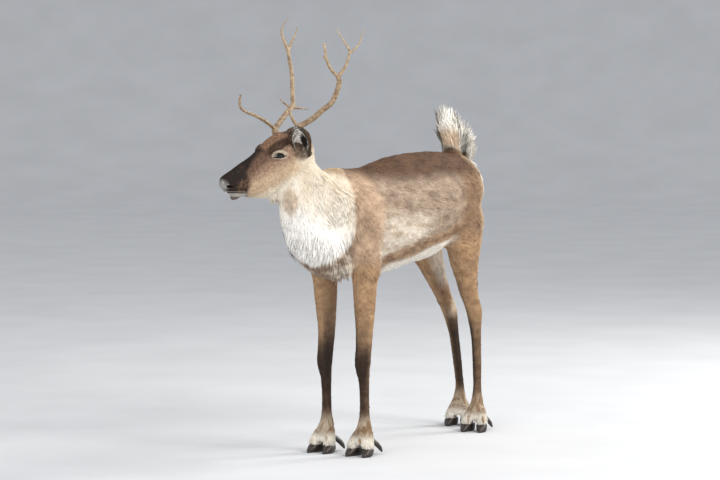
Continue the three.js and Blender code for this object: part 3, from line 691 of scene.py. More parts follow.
def ear_part(ear):
    """An ear as one closed scoop, with its cup sunk between the two edges."""
    form = Form([{"at": r[:3], "half": r[3], "above": r[4], "below": r[5]} for r in EAR_ROWS])
    rows = form.row(np.linspace(0, form.spans, form.spans * 5 + 1))
    height, half, back, front, cup_half, cup = rows[:, [0, 1, 2, 5, 6, 7]].T
    outer = np.radians(np.linspace(-38, 218, OUTER))
    inner = np.radians(np.linspace(214, -34, INNER))
    sin_out, sin_in = np.sin(outer), np.sin(inner)
    rings = []
    for i, level in enumerate(height):
        reach = np.where(sin_out > 0, -back[i] - 1.5, -front[i] - 1)
        bow = np.where(sin_in > 0, -cup[i], -front[i] * 0.86)
        outside = np.stack([reach * sin_out, (half[i] + 2.5) * np.cos(outer), np.full(OUTER, level)], -1)
        inside = np.stack([bow * sin_in, cup_half[i] * np.cos(inner), np.full(INNER, level)], -1)
        rings.append(np.concatenate([outside, inside]))
    part = tube(rings, rings[0].mean(0), rings[-1].mean(0))
    return on_head(moved(part, ear_axes(ear), ear["root"]))


def join_ears(mesh):
    """Adds both ears to the skin, marked 1 on their outside, 2 in the cup and up to 3 in its hole."""
    marks = [np.zeros(len(mesh.vertices))]
    work = bmesh.new()
    work.from_mesh(mesh)
    for ear in EARS.values():
        points, faces = ear_part(ear)
        corners = [work.verts.new(p) for p in to_frame(points)]
        for face in np.concatenate([faces[0], faces[1][:, [0, 1, 2, 2]]]):
            face = list(dict.fromkeys(face))
            work.faces.new([corners[k] for k in face])
        ring = np.where(np.arange(OUTER + INNER) < OUTER, 1.0, 2.0)
        mark = np.concatenate([np.tile(ring, (len(points) - 2) // len(ring)), [1, 1]])
        _, across, height = ((in_head(points) - ear["root"]) @ ear_axes(ear)).T
        across = (across * np.sign(ear["root"][1]) - EAR_HOLE["across"]) / EAR_HOLE["half"][0]
        height = (height - EAR_HOLE["height"]) / EAR_HOLE["half"][1]
        marks.append(mark + (mark > 1.5) * smooth(np.sqrt(across ** 2 + height ** 2), 1.2, 0.6))
    work.to_mesh(mesh)
    work.free()
    mark_points(mesh, "ear", np.concatenate(marks))
    mesh.shade_smooth()


def front_of_head(points, q):
    """All the head before the ears."""
    return (headness(points) > 0.5) & (q[:, 0] > 20)


def eyes_and_muzzle(points, q):
    """The skin round the eyes, and that of the nose and lips."""
    from_eye = np.linalg.norm(q * [1, 0, 1] - [EYE["x"], 0, EYE["z"]], axis=1)
    eyes = (from_eye < 34) & (np.abs(q[:, 1]) > 30)
    return (headness(points) > 0.5) & (eyes | (q[:, 0] > 200) & (q[:, 2] < -8))


def make_skin():
    """One skin over all the flesh, finer on the head, with its eyelids, nostrils, mouth and ears."""
    points, faces = flesh()
    body = make_mesh("skin", to_frame(points), faces)
    mesh = remeshed(body, VOXEL)
    points = drawing(mesh)
    edges, count = neighbours(mesh)
    on_the_head = headness(points)
    toes = smooth(points[:, 2], 120, 90)
    tail = smooth(points[:, 2], 965, 985) * (points[:, 0] < -200)
    torso = 1 - np.maximum(on_the_head, smooth(points[:, 2], 560, 470))
    # the trunk is evened out most, the toes little and the tail not at all
    points = relax(points, edges, count, 0.5 * torso * (1 - tail), 24)
    points = relax(points, edges, count, 0.5 * (1 - 0.75 * toes) * (1 - tail), 4)
    put(mesh, points)
    for chosen in (front_of_head, eyes_and_muzzle):
        points = drawing(mesh)
        refine(mesh, chosen(points, in_head(points)))
        points = drawing(mesh)
        edges, count = neighbours(mesh)
        put(mesh, relax(points, edges, count, 0.45 * headness(points), 2))
    join_ears(mesh)
    points = drawing(mesh)
    normals = read(mesh.vertices, "normal", 3).astype(float)
    head = headness(points) * (read(mesh.attributes["ear"].data, "value") == 0)
    q = in_head(points)
    shaped = shape_face(q, normals @ HEAD_AXES)
    for side in (1, -1):
        half = side * shaped[:, 1] > 0
        shaped[half] = shape_lids(shaped[half], side)
    points = np.where(head[:, None] > 0.5, head_points(shaped), points)
    points[:, 2] = np.maximum(points[:, 2], CORONET)
    put(mesh, points)
    for name, values in face_marks(q, head).items():
        mark_points(mesh, name, values)
    unwrap_skin(body)
    return body


# Antlers, given in the head's frame: each side has a beam, and tines that fork from it

BURR = 12  # radius of the knotted ring at an antler's root
BEAM = {"root": 10, "left": 8, "right": 5.8}
TINE = {"root": 6.2, "branch": 4.6, "joined": 3.8, "tip": 1.3}
ANTLERS = {
    "left": {
        "beam": [[-8, 46, 24], [-18, 50, 42], [-44, 62, 46], [-66, 80, 53], [-94, 100, 67], [-125, 120, 80],
                 [-147, 135, 106], [-163, 145, 132], [-165, 150, 156]],
        "brow": [
            [[-20, 50, 44], [-15, 47, 76], [-16, 43, 98], [-26, 38, 114]],
            [[-24, 40, 110], [-17, 36, 124], [-10, 31, 138], [-11, 28, 158]],
            [[-24, 40, 110], [-42, 40, 116], [-54, 42, 130]],
        ],
        "front": [
            [[-165, 150, 154], [-153, 152, 174], [-146, 152, 198], [-147, 150, 225], [-157, 145, 248],
             [-165, 138, 270]],
            [[-147, 151, 220], [-136, 148, 240]],
        ],
        "crown": [
            [[-165, 150, 154], [-189, 152, 165], [-215, 150, 182], [-241, 146, 208]],
            [[-239, 147, 204], [-240, 138, 233], [-238, 125, 270], [-247, 112, 294]],
            [[-239, 147, 204], [-260, 146, 206], [-286, 144, 217], [-312, 138, 238], [-329, 132, 252]],
        ],
    },
    "right": {
        "beam": [[4, -46, 24], [6, -50, 42], [-24, -57, 54], [-72, -75, 66], [-113, -94, 72],
                 [-137, -115, 91], [-164, -135, 123], [-182, -145, 152], [-194, -150, 190],
                 [-203, -150, 228]],
        "brow": [
            [[2, -50, 44], [27, -45, 82], [59, -38, 118], [91, -30, 147], [106, -24, 168], [102, -21, 189],
             [91, -19, 206]],
            [[24, -46, 78], [23, -45, 92]],
        ],
        "front": [
            [[-203, -150, 226], [-200, -148, 259], [-202, -145, 293], [-215, -138, 313], [-236, -122, 332]],
        ],
        "back": [[[-203, -150, 226], [-218, -150, 238], [-245, -140, 267], [-258, -132, 290]]],
        "spur": [[[-108, -93, 70], [-139, -100, 52], [-176, -108, 30]]],
    },
}


def antler(side):
    """One antler as a single smooth piece, with a knotted burr at its root."""
    tines = dict(ANTLERS[side])
    beam = tines.pop("beam")
    parts = [bar(beam, np.linspace(BEAM["root"], BEAM[side], len(beam)), 16, 5)]
    burr_low, burr_high = np.array(beam[0], float), np.array(beam[1], float)
    burr = [burr_low, (burr_low + burr_high) / 2, burr_high]
    parts.append(bar(burr, [BURR, BURR + 1, BURR - 1.5], 16, 5))
    for turn in np.linspace(0, 2 * np.pi, 9, endpoint=False):
        knob = burr_low * 0.6 + burr_high * 0.4 + np.array([math.cos(turn), math.sin(turn), 0]) * (BURR - 1)
        parts.append(ball(knob, [3.2, 3.2, 4.4], 0, 10))
    for lists in tines.values():
        for k, points in enumerate(lists):
            start = TINE["branch"] if k else TINE["root"]
            end = TINE["tip"] if k or len(lists) == 1 else TINE["joined"]
            parts.append(bar(points, np.linspace(start, end, len(points)), 14, 5))
    points, faces = on_head(gather(parts))
    piece = make_mesh("antler_" + side + "_bone", to_frame(points), faces)
    mesh = remeshed(piece, FINE_VOXEL)
    points = drawing(mesh)
    edges, count = neighbours(mesh)
    put(mesh, relax(points, edges, count, np.full(len(points), 0.5), 5))
    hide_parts(*["antler_" + side + "_" + n for n in ["beam", *tines]])
    return piece


def dress(piece, material):
    """Gives a piece its material and the body that it rides on."""
    piece.data.materials.append(material)
    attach(piece, "root")


def small_piece(name, part, node, material):
    """A rigid piece that takes the place of a node of the same shape."""
    points, faces = part
    piece = make_mesh(name, to_frame(points), faces)
    dress(piece, material)
    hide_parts(node)


# Coat: tufts and locks as closed solids rooted on the skin, lying the way the hair grows

def ripple(points, size, seed):
    """Smooth random values about 0 over the body, with features of this size in millimetres."""
    picker = np.random.default_rng(seed)
    total = np.zeros(len(points))
    for _ in range(7):
        wave = unit(picker.normal(size=3)) * 2 * np.pi / (size * picker.uniform(1.4, 2.6))
        total += np.sin(points @ wave + picker.uniform(0, 6.3))
    return total / 2.6


def groom(points, normals, ear):
    """The direction in which the hair lies at each root, flat on the skin."""
    x, y, z = points.T
    side = np.sign(y)
    lie = np.tile([-1.0, 0, -0.42], (len(points), 1))

    def lay(share, direction):
        """Turns the lie towards a direction, by a share for each root."""
        nonlocal lie
        share = np.asarray(share)[:, None]
        lie = lie * (1 - share) + share * np.asarray(direction, float)

    lay(smooth(normals[:, 2], -0.3, -0.8), [-1, 0, 0])
    lay(smooth(x, 330, 420) * smooth(z, 560, 640), [-0.32, 0, -1])
    lay(smooth(x, -190, -320), [-0.25, 0, -1])
    lay(smooth(z, 640, 520) * smooth(np.abs(y), 20, 40), [-0.1, 0, -1])
    lay(smooth(z, 96, 70), [0.25, 0, -1])
    head = headness(points) * (ear == 0)
    q = in_head(points)
    face = np.tile([-1.0, 0, -0.3], (len(points), 1))
    face[:, 2] -= 0.5 * smooth(q[:, 2], -20, -90)
    face[:, 1] += 0.25 * side * smooth(q[:, 0], 120, 60)
    lay(head, face @ HEAD_AXES.T)
    for ear_name, s in (("left", 1), ("right", -1)):
        along = HEAD_AXES @ ear_axes(EARS[ear_name])[:, 2]
        lay((ear > 0) & (q[:, 1] * s > 0), along)
    lie = unit(lie - np.sum(lie * normals, 1, keepdims=True) * normals)
    tail = on_tail(points)[:, None]
    spray = 0.05 + (0.42 + 0.5 * smooth(points[:, 2:], 1010, 950)) * smooth(-normals[:, :1], -0.1, 0.8)
    lie = unit(lie * (1 - tail) + tail * unit([0.22, -0.1, 1] + spray * normals))
    swirl = 11 * ripple(points, 70, 1) + 9 * ripple(points, 24, 2)
    turn = np.radians(swirl + rng.normal(0, 7, len(points)))
    turn *= 1 - 0.6 * head
    across = np.cross(normals, lie)
    return lie * np.cos(turn)[:, None] + across * np.sin(turn)[:, None]


def on_tail(points):
    """1 on the raised tail and the seat of its long hair, 0 elsewhere."""
    core = spline(TAIL_CORE, 16)
    away = np.min(np.linalg.norm(points[:, None] - core[None], axis=2), axis=1)
    seat = (points[:, 0] < -308) & (points[:, 2] > 890) & (np.abs(points[:, 1]) < 42) & (away < 66)
    return 1.0 * ((away < 37) & (points[:, 2] > 966) | seat)


class Ground:
    """The skin's surface, from which roots are drawn."""

    def __init__(self, mesh):
        mesh.calc_loop_triangles()
        self.points = drawing(mesh)
        self.normals = read(mesh.vertices, "normal", 3).astype(float)
        self.ears = read(mesh.attributes["ear"].data, "value")
        self.bare = read(mesh.attributes["bare"].data, "value")
        self.corners = read(mesh.loop_triangles, "vertices", 3, np.int32)
        loops = read(mesh.loop_triangles, "loops", 3, np.int32)
        self.unwrap = read(mesh.uv_layers["OFBake"].uv, "vector", 2)[loops]
        a, b, c = [self.points[self.corners[:, k]] for k in range(3)]
        self.area = np.linalg.norm(np.cross(b - a, c - a), axis=1) / 2
        self.middle = (a + b + c) / 3
        self.ear = self.ears[self.corners].max(1)

    def roots(self, chosen, count):
        """Evenly spread roots on the chosen triangles; chosen may be a share for each."""
        weight = self.area * chosen * (self.bare[self.corners].max(1) < 0.5)
        total = np.cumsum(weight)
        at = (np.arange(count) + rng.random(count)) / count * total[-1]
        triangle = np.minimum(np.searchsorted(total, at), len(total) - 1)
        r1, r2 = np.sqrt(rng.random(count)), rng.random(count)
        share = np.stack([1 - r1, r1 * (1 - r2), r1 * r2], -1)[:, :, None]
        corners = self.corners[triangle]
        point = (self.points[corners] * share).sum(1)
        normal = unit((self.normals[corners] * share).sum(1))
        ear = (self.ears[corners] * share[:, :, 0]).sum(1)
        return point, normal, ear, (self.unwrap[triangle] * share).sum(1)


SHORT = (0.0, 0.42)  # where the rings of a tuft lie along its length
LONG = (0.0, 0.34, 0.68)  # and those of a long lock
SWELL = (0.8, 1.0, 0.78)  # the width of each ring, as a share of the tuft's
PATCH = 0.003  # how wide a tuft's own place is on the skin's unwrap


def tufts(name, roots, lie, shape, shares):
    """One piece of tufts, each a closed, ridged solid that narrows to a tip, its root under the skin."""
    point, normal, ear, unwrap = roots
    count = len(point)
    across = unit(np.cross(normal, lie))
    length, width, thick, rise, droop = [np.asarray(v, float) * np.ones(count) for v in shape]
    rings = []
    for s, swell in zip(shares, SWELL):
        height = length * (rise * s - droop * s * s) - (thick * 0.9 if s == 0 else 0)
        centre = point + lie * (length * s)[:, None] + normal * height[:, None]
        half = across * (width * swell / 2)[:, None]
        ridge = normal * (thick * swell)[:, None]
        rings += [centre + half, centre - half, centre + ridge]
    tip = point + lie * length[:, None] + normal * (length * (rise - droop))[:, None]
    points = np.stack(rings + [tip], 1)
    size = points.shape[1]
    quads, thirds = [], [[0, 1, 2]]
    for k in range(len(shares) - 1):
        a = 3 * k
        quads += [[a + i, a + 3 + i, a + 3 + (i + 1) % 3, a + (i + 1) % 3] for i in range(3)]
    last = 3 * (len(shares) - 1)
    thirds += [[last + i, size - 1, last + (i + 1) % 3] for i in range(3)]
    start = (np.arange(count) * size)[:, None, None]
    faces = [(np.array(k)[None] + start).reshape(-1, len(k[0])) for k in (quads, thirds)]
    piece = make_mesh(name, to_frame(points.reshape(-1, 3)), faces)
    mesh = piece.data
    own = read(mesh.vertices, "normal", 3)
    # hair scatters light, so a tuft is shaded partly as the skin under it
    stiff = 0.75 if shares == SHORT else 1.2
    mesh.normals_split_custom_set_from_vertices(unit(np.repeat(normal, size, axis=0) + own * stiff))
    reach = np.array([*np.repeat(shares, 3), 1.0])
    tone = np.clip(0.5 + 0.22 * ripple(point, 30, 5) + rng.normal(0, 0.22, count), 0, 1)
    mark_points(mesh, "tip", np.tile(reach, count))
    mark_points(mesh, "tone", np.repeat(tone, size))
    mark_points(mesh, "ear", np.repeat(ear, size))
    sideways = np.append(np.tile([-1.0, 1.0, 0.0], len(shares)), 0.0)
    patch = np.stack([sideways, reach * 2 - 1], -1) * (PATCH / 2)
    spots = (unwrap[:, None] + patch[None]).reshape(-1, 2)
    corners = read(mesh.loops, "vertex_index", 1, np.int32)
    layer = mesh.uv_layers.new(name="OFBake")
    layer.uv.foreach_set("vector", spots[corners].astype(np.float32).ravel())
    return piece


def clothe(name, ground, chosen, count, shape, material, shares):
    """Grows one piece of the coat; shape gives length, width, thickness, rise and droop for its roots."""
    roots = ground.roots(chosen, count)
    lie = groom(*roots[:3])
    dress(tufts(name, roots, lie, shape(*roots[:3]), shares), material)


def vary(size, count, spread=0.22):
    """Sizes that vary about one size, as hair does."""
    return size * np.clip(rng.normal(1, spread, count), 0.5, 1.6)


def trunk_hair(point, normal, ear):
    """Winter coat of trunk and neck, shortest along the nape."""
    x, _, z = point.T
    n = len(point)
    neck = smooth(x, 400, 450) * smooth(z, 600, 650)
    nape = neck * smooth(normal[:, 2], 0.1, 0.6)
    length = vary(25 + 5 * neck + 5 * smooth(z, 640, 600) - 14 * nape, n)
    rise = 0.12 + 0.05 * rng.random(n) + 0.05 * np.abs(ripple(point, 36, 3)) - 0.03 * neck
    return length, vary(6.2 - 0.8 * neck, n), 1.4 - 0.6 * neck, rise, 0.1


def leg_hair(point, normal, ear):
    """Hair of the legs, shorter further down."""
    n = len(point)
    length = vary(12 + 8 * smooth(point[:, 2], 380, 560), n)
    return length, vary(4.2, n), 0.9, 0.1 + 0.04 * rng.random(n), 0.05


def foot_hair(point, normal, ear):
    """Hair of pasterns and toes, which stands out a little over the hooves."""
    n = len(point)
    return vary(13, n), vary(3.6, n), 0.9, 0.16 + 0.1 * rng.random(n), 0.02


def face_hair(point, normal, ear):
    """Fine hair of the head, shortest on the nose."""
    u = in_head(point)[:, 0]
    n = len(point)
    length = vary(3.6 + 5.4 * smooth(u, 250, 120) + 5 * smooth(u, 60, -20), n)
    width = vary(1.6 + 0.9 * smooth(u, 230, 100) + 0.9 * smooth(u, 60, -20), n)
    return length, width, width * 0.28, 0.12 + 0.06 * rng.random(n), 0.03


def ear_hair(point, normal, ear):
    """Short hair on the ear's back, longer and raised in its cup."""
    n = len(point)
    cup = smooth(ear, 1.4, 2)
    return vary(9 + 5 * cup, n), vary(2.2, n), 0.5, 0.2 + 0.05 * cup, 0.04 + 0.1 * cup


def tail_locks(point, normal, ear):
    """Long hair that closes round the tail's core and ends in a rounded brush."""
    n = len(point)
    up = smooth(point[:, 2], 950, 1045)
    behind = smooth(-normal[:, 0], -0.3, 0.8)
    length = vary(48 + 2 * up, n, 0.2)
    return length, vary(7, n), 1.4, 0.04 + 0.3 * behind * (1 - up) + 0.08 * rng.random(n), 0.04


def ruff_locks(point, normal, ear):
    """Long hair that hangs from throat and breast."""
    n = len(point)
    low = smooth(point[:, 2], 860, 700)
    length = vary(34 + 26 * low, n, 0.2)
    return length, vary(5.5, n), 0.9, 0.07 + 0.08 * rng.random(n), 0.1


def make_coat(skin, material):
    """Every piece of the coat, each from its own stretch of the skin."""
    ground = Ground(skin.data)
    x, y, z = ground.middle.T
    ear = ground.ear > 0
    head = (headness(ground.middle, 2) > 0.5) & ~ear
    tail = (on_tail(ground.middle) > 0.5) & ~head
    body = ~(ear | head | tail)
    foot = body & (z < 100)
    fore = body & ~foot & (z < 590) & (x > 190)
    hind = body & ~foot & ((z < 560) | (z < 650) & (np.abs(y) > 100)) & (x < -60)
    trunk = body & ~(foot | fore | hind)
    fine = 1 + 1.3 * smooth(in_head(ground.middle)[:, 0], 60, 240)
    front = smooth(ground.middle @ unit(np.array([0.9, 0, -0.15])), 300, 400)
    under_jaw = (y < -70) & (z > 812)
    throat = trunk & (x > 395) & (z < 930) & (z > 590) & ~under_jaw
    for name, chosen, count, shape, slot, shares in (
        ("coat_rump", trunk & (x < -60), 17500, trunk_hair, "coat_back", SHORT),
        ("coat_flank", trunk & (x >= -60) & (x < 250), 17500, trunk_hair, "coat_back", SHORT),
        ("coat_neck", trunk & (x >= 250), 18500, trunk_hair, "coat_ruff", SHORT),
        ("coat_fore_legs", fore, 15000, leg_hair, "coat_leg", SHORT),
        ("coat_hind_legs", hind, 15000, leg_hair, "coat_leg", SHORT),
        ("coat_feet", foot, 8000, foot_hair, "coat_foot", SHORT),
        ("coat_face", head * fine, 19000, face_hair, "coat_face", SHORT),
        ("coat_ears", ear, 6000, ear_hair, "coat_face", SHORT),
        ("locks_tail", tail, 4200, tail_locks, "tail_hair", LONG),
        ("locks_ruff", throat * front, 9000, ruff_locks, "coat_ruff", LONG),
    ):
        clothe(name, ground, chosen, count, shape, material, shares)


def unwrap_skin(skin):
    """An unwrap of the skin's own shape, on which the coat's tufts take their places."""
    skin.data.uv_layers.new(name="OFBake")
    bpy.context.view_layer.objects.active = skin
    skin.select_set(True)
    bpy.ops.object.mode_set(mode="EDIT")
    bpy.ops.mesh.select_all(action="SELECT")
    bpy.ops.uv.smart_project(angle_limit=math.radians(66), island_margin=0.002)
    bpy.ops.object.mode_set(mode="OBJECT")
    skin.select_set(False)


# Paint: a material's node tree, and its values with the usual arithmetic

class Wire:
    """One value in a material, which takes part in sums with numbers and other values."""

    def __init__(self, tree, socket):
        self.tree, self.socket = tree, socket

    def sum(self, kind, first, second=0.0):
        """Adds one Math node of this kind."""
        node = self.tree.nodes.new("ShaderNodeMath")
        node.operation = kind
        connect(self.tree, node.inputs[0], first)
        connect(self.tree, node.inputs[1], second)
        return Wire(self.tree, node.outputs[0])

    def __add__(self, other):
        return self.sum("ADD", self, other)

    def __radd__(self, other):
        return self.sum("ADD", other, self)

    def __sub__(self, other):
        return self.sum("SUBTRACT", self, other)

    def __rsub__(self, other):
        return self.sum("SUBTRACT", other, self)

    def __mul__(self, other):
        return self.sum("MULTIPLY", self, other)

    def __rmul__(self, other):
        return self.sum("MULTIPLY", other, self)

    def __truediv__(self, other):
        return self.sum("DIVIDE", self, other)

    def __abs__(self):
        return self.sum("ABSOLUTE", self)

    def most(self, other):
        return self.sum("MAXIMUM", self, other)

    def least(self, other):
        return self.sum("MINIMUM", self, other)

    def root(self):
        return self.sum("SQRT", self)


def connect(tree, slot, value):
    """Gives a node's socket a number, a colour or a link."""
    if isinstance(value, Wire):
        tree.links.new(value.socket, slot)
    else:
        slot.default_value = value


def paint(code):
    """A colour from its six-figure code, in linear light."""
    values = [int(code[k:k + 2], 16) / 255 for k in (0, 2, 4)]
    return [v / 12.92 if v <= 0.04045 else ((v + 0.055) / 1.055) ** 2.4 for v in values] + [1.0]


class Paint:
    """A material with its coordinates: x, y and z of the drawing, and u, v and w of the head's frame."""

    def __init__(self, name, roughness=0.8, specular=0.3):
        self.material = bpy.data.materials.new(name)
        self.material.use_nodes = True
        self.tree = self.material.node_tree
        self.shader = self.tree.nodes["Principled BSDF"]
        self.shader.inputs["Roughness"].default_value = roughness
        self.shader.inputs["Specular IOR Level"].default_value = specular
        self.place = Wire(self.tree, self.tree.nodes.new("ShaderNodeTexCoord").outputs["Object"])
        x, y, z = self.split(self.place)
        self.x, self.y, self.z = x / MM - PLACE[0], y / MM - PLACE[1], z / MM
        corner = to_frame(HEAD_AT)
        self.u, self.v, self.w = [
            (self.node("ShaderNodeVectorMath", {0: self.place, 1: tuple(axis)}, 1, operation="DOT_PRODUCT")
             - float(corner @ axis)) / MM
            for axis in HEAD_AXES.T
        ]

    def node(self, kind, values=None, output=0, **settings):
        """Adds any node: its settings first, then its values by slot."""
        node = self.tree.nodes.new(kind)
        for key, value in settings.items():
            setattr(node, key, value)
        for slot, value in (values or {}).items():
            connect(self.tree, node.inputs[slot], value)
        return Wire(self.tree, node.outputs[output])

    def split(self, vector):
        """The three numbers of a vector."""
        node = self.tree.nodes.new("ShaderNodeSeparateXYZ")
        connect(self.tree, node.inputs[0], vector)
        return [Wire(self.tree, s) for s in node.outputs]

    def step(self, value, low, high):
        """0 below low, 1 above high, with an even rise."""
        low, high, start, end = (low, high, 0.0, 1.0) if low < high else (high, low, 1.0, 0.0)
        return self.node(
            "ShaderNodeMapRange", {0: value, 1: float(low), 2: float(high), 3: start, 4: end},
            interpolation_type="SMOOTHSTEP",
        )

    def spot(self, dx, dy, dz):
        """1 in the middle of an ellipsoid and 0 from its edge; takes the scaled distances."""
        return self.step((dx * dx + dy * dy + dz * dz).root(), 1.0, 0.55)

    def mix(self, share, first, second):
        return self.node("ShaderNodeMix", {0: share, 6: first, 7: second}, 2, data_type="RGBA")

    def pair(self, share, first, second):
        """A mix of two colours given by their codes."""
        return self.mix(share, paint(first), paint(second))

    def scale(self, colour, share):
        """A colour made lighter or darker."""
        return self.node("ShaderNodeVectorMath", {0: colour, "Scale": share}, operation="SCALE")

    def noise(self, size, detail=2.0, stretch=(1.0, 1.0, 1.0), shift=0.0):
        """Soft random values about 0, with features of this size in millimetres."""
        at = self.node("ShaderNodeVectorMath", {0: self.place, 1: stretch}, operation="MULTIPLY")
        at = self.node("ShaderNodeVectorMath", {0: at, 1: (shift, shift, shift)}, operation="ADD")
        made = self.node("ShaderNodeTexNoise", {"Vector": at, "Scale": 1000 / size, "Detail": detail})
        return (made - 0.5) * 2.0

    def mark(self, name):
        """A value that the mesh's points carry."""
        return self.node("ShaderNodeAttribute", output=2, attribute_name=name)

    def finish(self, colour):
        """Gives the surface its colour and hands over the material."""
        connect(self.tree, self.shader.inputs["Base Color"], colour)
        return self.material

    def bump(self, height, depth):
        """A relief this many millimetres deep."""
        node = self.tree.nodes.new("ShaderNodeBump")
        node.inputs["Strength"].default_value = 1.0
        node.inputs["Distance"].default_value = depth * MM
        connect(self.tree, node.inputs["Height"], height)
        self.tree.links.new(node.outputs[0], self.shader.inputs["Normal"])


THROAT = {"at": [604, -38, 828], "half": [50.0, 32.0, 56.0]}  # the brown patch under the jaw


def body_colour(p):
    """The markings of trunk, neck, legs and tail."""
    x, y, z = p.x, p.y, p.z
    side = abs(y)
    wander = p.noise(90, 2.0)
    streak = p.noise(24, 3.0, (0.6, 1.0, 1.2), 3.0)
    patch = p.noise(70, 2.0, (0.8, 1.0, 1.5), 7.0)
    fine = p.step(streak, -0.45, 0.45)
    # the ground colours of flank, shoulder, rump and back
    flank = p.pair(p.step(streak + patch * 0.6, -0.9, 0.9), "705b4b", "b29e89")
    back = p.pair(p.step(streak, -0.8, 0.8), "3f2b1c", "634630")
    shoulder = p.pair(p.step(streak, -0.8, 0.8), "967a63", "c3a78c")
    rump = p.pair(p.step(streak, -0.8, 0.8), "6d5340", "987a5d")
    colour = p.mix(p.step(x + wander * 16, 262, 322), flank, shoulder)
    colour = p.mix(p.step(x + wander * 25 + (z - 800) * 0.15, -130, -205), colour, rump)
    colour = p.mix(p.step(z + wander * 24 + streak * 12 - p.step(x, 250, 420) * 26, 858, 912), colour, back)
    # the flank's pale lower half
    pale = p.step(z + wander * 22, 800, 735) * p.step(x, 335, 280) * p.step(x + wander * 30, 20, 130)
    colour = p.mix(pale * 0.85, colour, p.pair(fine, "bfab95", "e9dfd0"))
    # a brown band low on the flank, and the white belly under it
    low = z - 672 + (x - 20) * 0.2 + wander * 14 + streak * 6
    band = p.step(low, 36, 12) * p.step(x, 300, 240) * p.step(x, -200, -140)
    colour = p.mix(band * 0.9, colour, p.pair(fine, "765841", "a98a6b"))
    belly = p.step(low, -14, -38) * p.step(x, 345, 300) * p.step(x, -178, -120) * p.step(z, 545, 575)
    colour = p.mix(belly, colour, paint("ebe3d7"))
    # legs, which darken towards the cannons and are darkest in front; their inner side is darker still as
    # painted shade
    fore = p.step(x, 200, 260) * p.step(x, 452, 420) * p.step(z + wander * 20, 640, 590)
    hind = p.step(x, -110, -160) * p.step(z + wander * 20, 700, 640)
    leg = p.pair(p.step(streak, -0.8, 0.8), "917053", "bd9a75")
    colour = p.mix(fore.most(hind), colour, leg)
    cannon = p.pair(fine, "3d2e24", "67513f")
    # painted shade: the inner side of each leg is darkened, and its dark cannon colour reaches higher there
    shaded_inner_side = p.step(side, FORE_Y - 2, FORE_Y - 16)
    toes = p.noise(15, 2.0, (1.0, 1.0, 0.35), 2.0)
    down = p.step(z + wander * 16 + shaded_inner_side * -40, 430, 300)
    colour = p.mix(fore.most(hind) * down * (0.9 - hind * 0.12), colour, cannon)
    front = p.step(x - FORE_X + p.noise(30) * 4, 2, 16) * fore
    front = front * (p.step(z, 520, 440) * 0.2 + p.step(z, 380, 300) * 0.6)
    colour = p.mix(front, colour, paint("291d16"))
    # painted shade on the inner side of the lower legs, and pale hair on the inner thighs and the hocks
    shade = shaded_inner_side * (fore + hind).least(1.0)
    colour = p.mix(shade * p.step(z, 560, 480) * 0.3, colour, paint("5a4a40"))
    colour = p.mix(shade * p.step(z, 420, 320) * 0.8, colour, paint("2a1f18"))
    thigh = p.step(side, 58, 40) * p.step(z, 470, 540) * p.step(z, 670, 620) * p.step(x, -100, -140)
    colour = p.mix(thigh * 0.75, colour, paint("d9cfc2"))
    ragged = z + toes * 14
    hock = p.step(ragged, 372, 412) * p.step(ragged, 480, 430) * p.step(x + toes * 8, -352, -372)
    colour = p.mix(hock * 0.6, colour, paint("dfcdb2"))
    # pasterns and toes, streaked cream and tan
    pastern = p.step(z + toes * 22, 150, 96)
    colour = p.mix(pastern * 0.75, colour, p.pair(p.step(toes, -0.2, 0.3), "9c7d60", "d8c6ac"))
    feet = p.step(ragged, 74, 46)
    colour = p.mix(feet, colour, p.pair(p.step(toes, -0.5, -0.1), "a58462", "f0e8d9"))
    # neck, breast and the ruff
    ahead = x - side * 0.5
    height = z + (ahead - 400) * 0.6 + wander * 14
    neck = p.step(ahead + wander * 10 + streak * 5, 378, 404) * p.step(height, 655, 690)
    cream = p.mix(p.step(p.noise(45, 2.0, (1.2, 1.2, 0.4)), -0.5, 0.5), paint("dccdb6"), paint("ede5d7"))
    cream = p.mix(p.step(z - ahead * 0.3, 650, 760) * 0.6, cream, paint("c6b59d"))
    cream = p.mix(p.step(z - ahead * 0.5, 560, 440), cream, paint("faf6ef"))
    colour = p.mix(neck, colour, cream)
    crest = p.step(z - (x - 420) * 0.35, 884, 918) * p.step(x, 520, 470) * p.step(side, 74, 40)
    colour = p.mix(crest * neck * 0.9, colour, p.pair(fine, "9c7f61", "c4a785"))
    breast = p.step(height, 690, 650) * p.step(ahead, 372, 392)
    mottle = p.pair(p.step(streak + wander, -0.3, 0.5), "8f7a68", "e6dac9")
    colour = p.mix(breast * 0.9, colour, mottle)
    blur = p.noise(26, 2.0)
    place = (x, y + blur * 16, z + blur * 26)
    throat = p.spot(*[(at - mid) / half for at, mid, half in zip(place, THROAT["at"], THROAT["half"])])
    colour = p.mix(throat * 0.6, colour, p.pair(fine, "94775c", "c4a98c"))
    # tail and the white edge of the rump, and down the back of the hind legs a cream edge that is partly
    # pale hair and partly painted light
    leg_back = (620 - z).most(0.0) * 0.24
    # partly pale hair, partly painted light: a cream edge down the back of the hind legs, which below the
    # rump is painted only on the left legs as a lit edge
    pale_and_lit_rear_edge = p.step(x + leg_back + wander * 6, -262, -304) * p.step(z, 430, 520)
    colour = p.mix(pale_and_lit_rear_edge * p.step(y, -10, 10).most(p.step(z, 600, 680)) * 0.5, colour, paint("cbb090"))
    edge = p.step(x + wander * 5, -312, -330) * p.step(z, 600, 700)
    tail = p.step(z + p.noise(20) * 6 - (x + 300) * 0.5, 955, 972) * p.step(x, -236, -256)
    colour = p.mix(edge.most(tail), colour, paint("f5f0e6"))
    root = tail * p.step(z, 1066, 1010) * p.step(x + (z - 1000) * -0.2 + p.noise(14) * 9, -300, -284)
    return p.mix(root * 0.8, colour, p.pair(fine, "9c7a58", "d0b08a"))


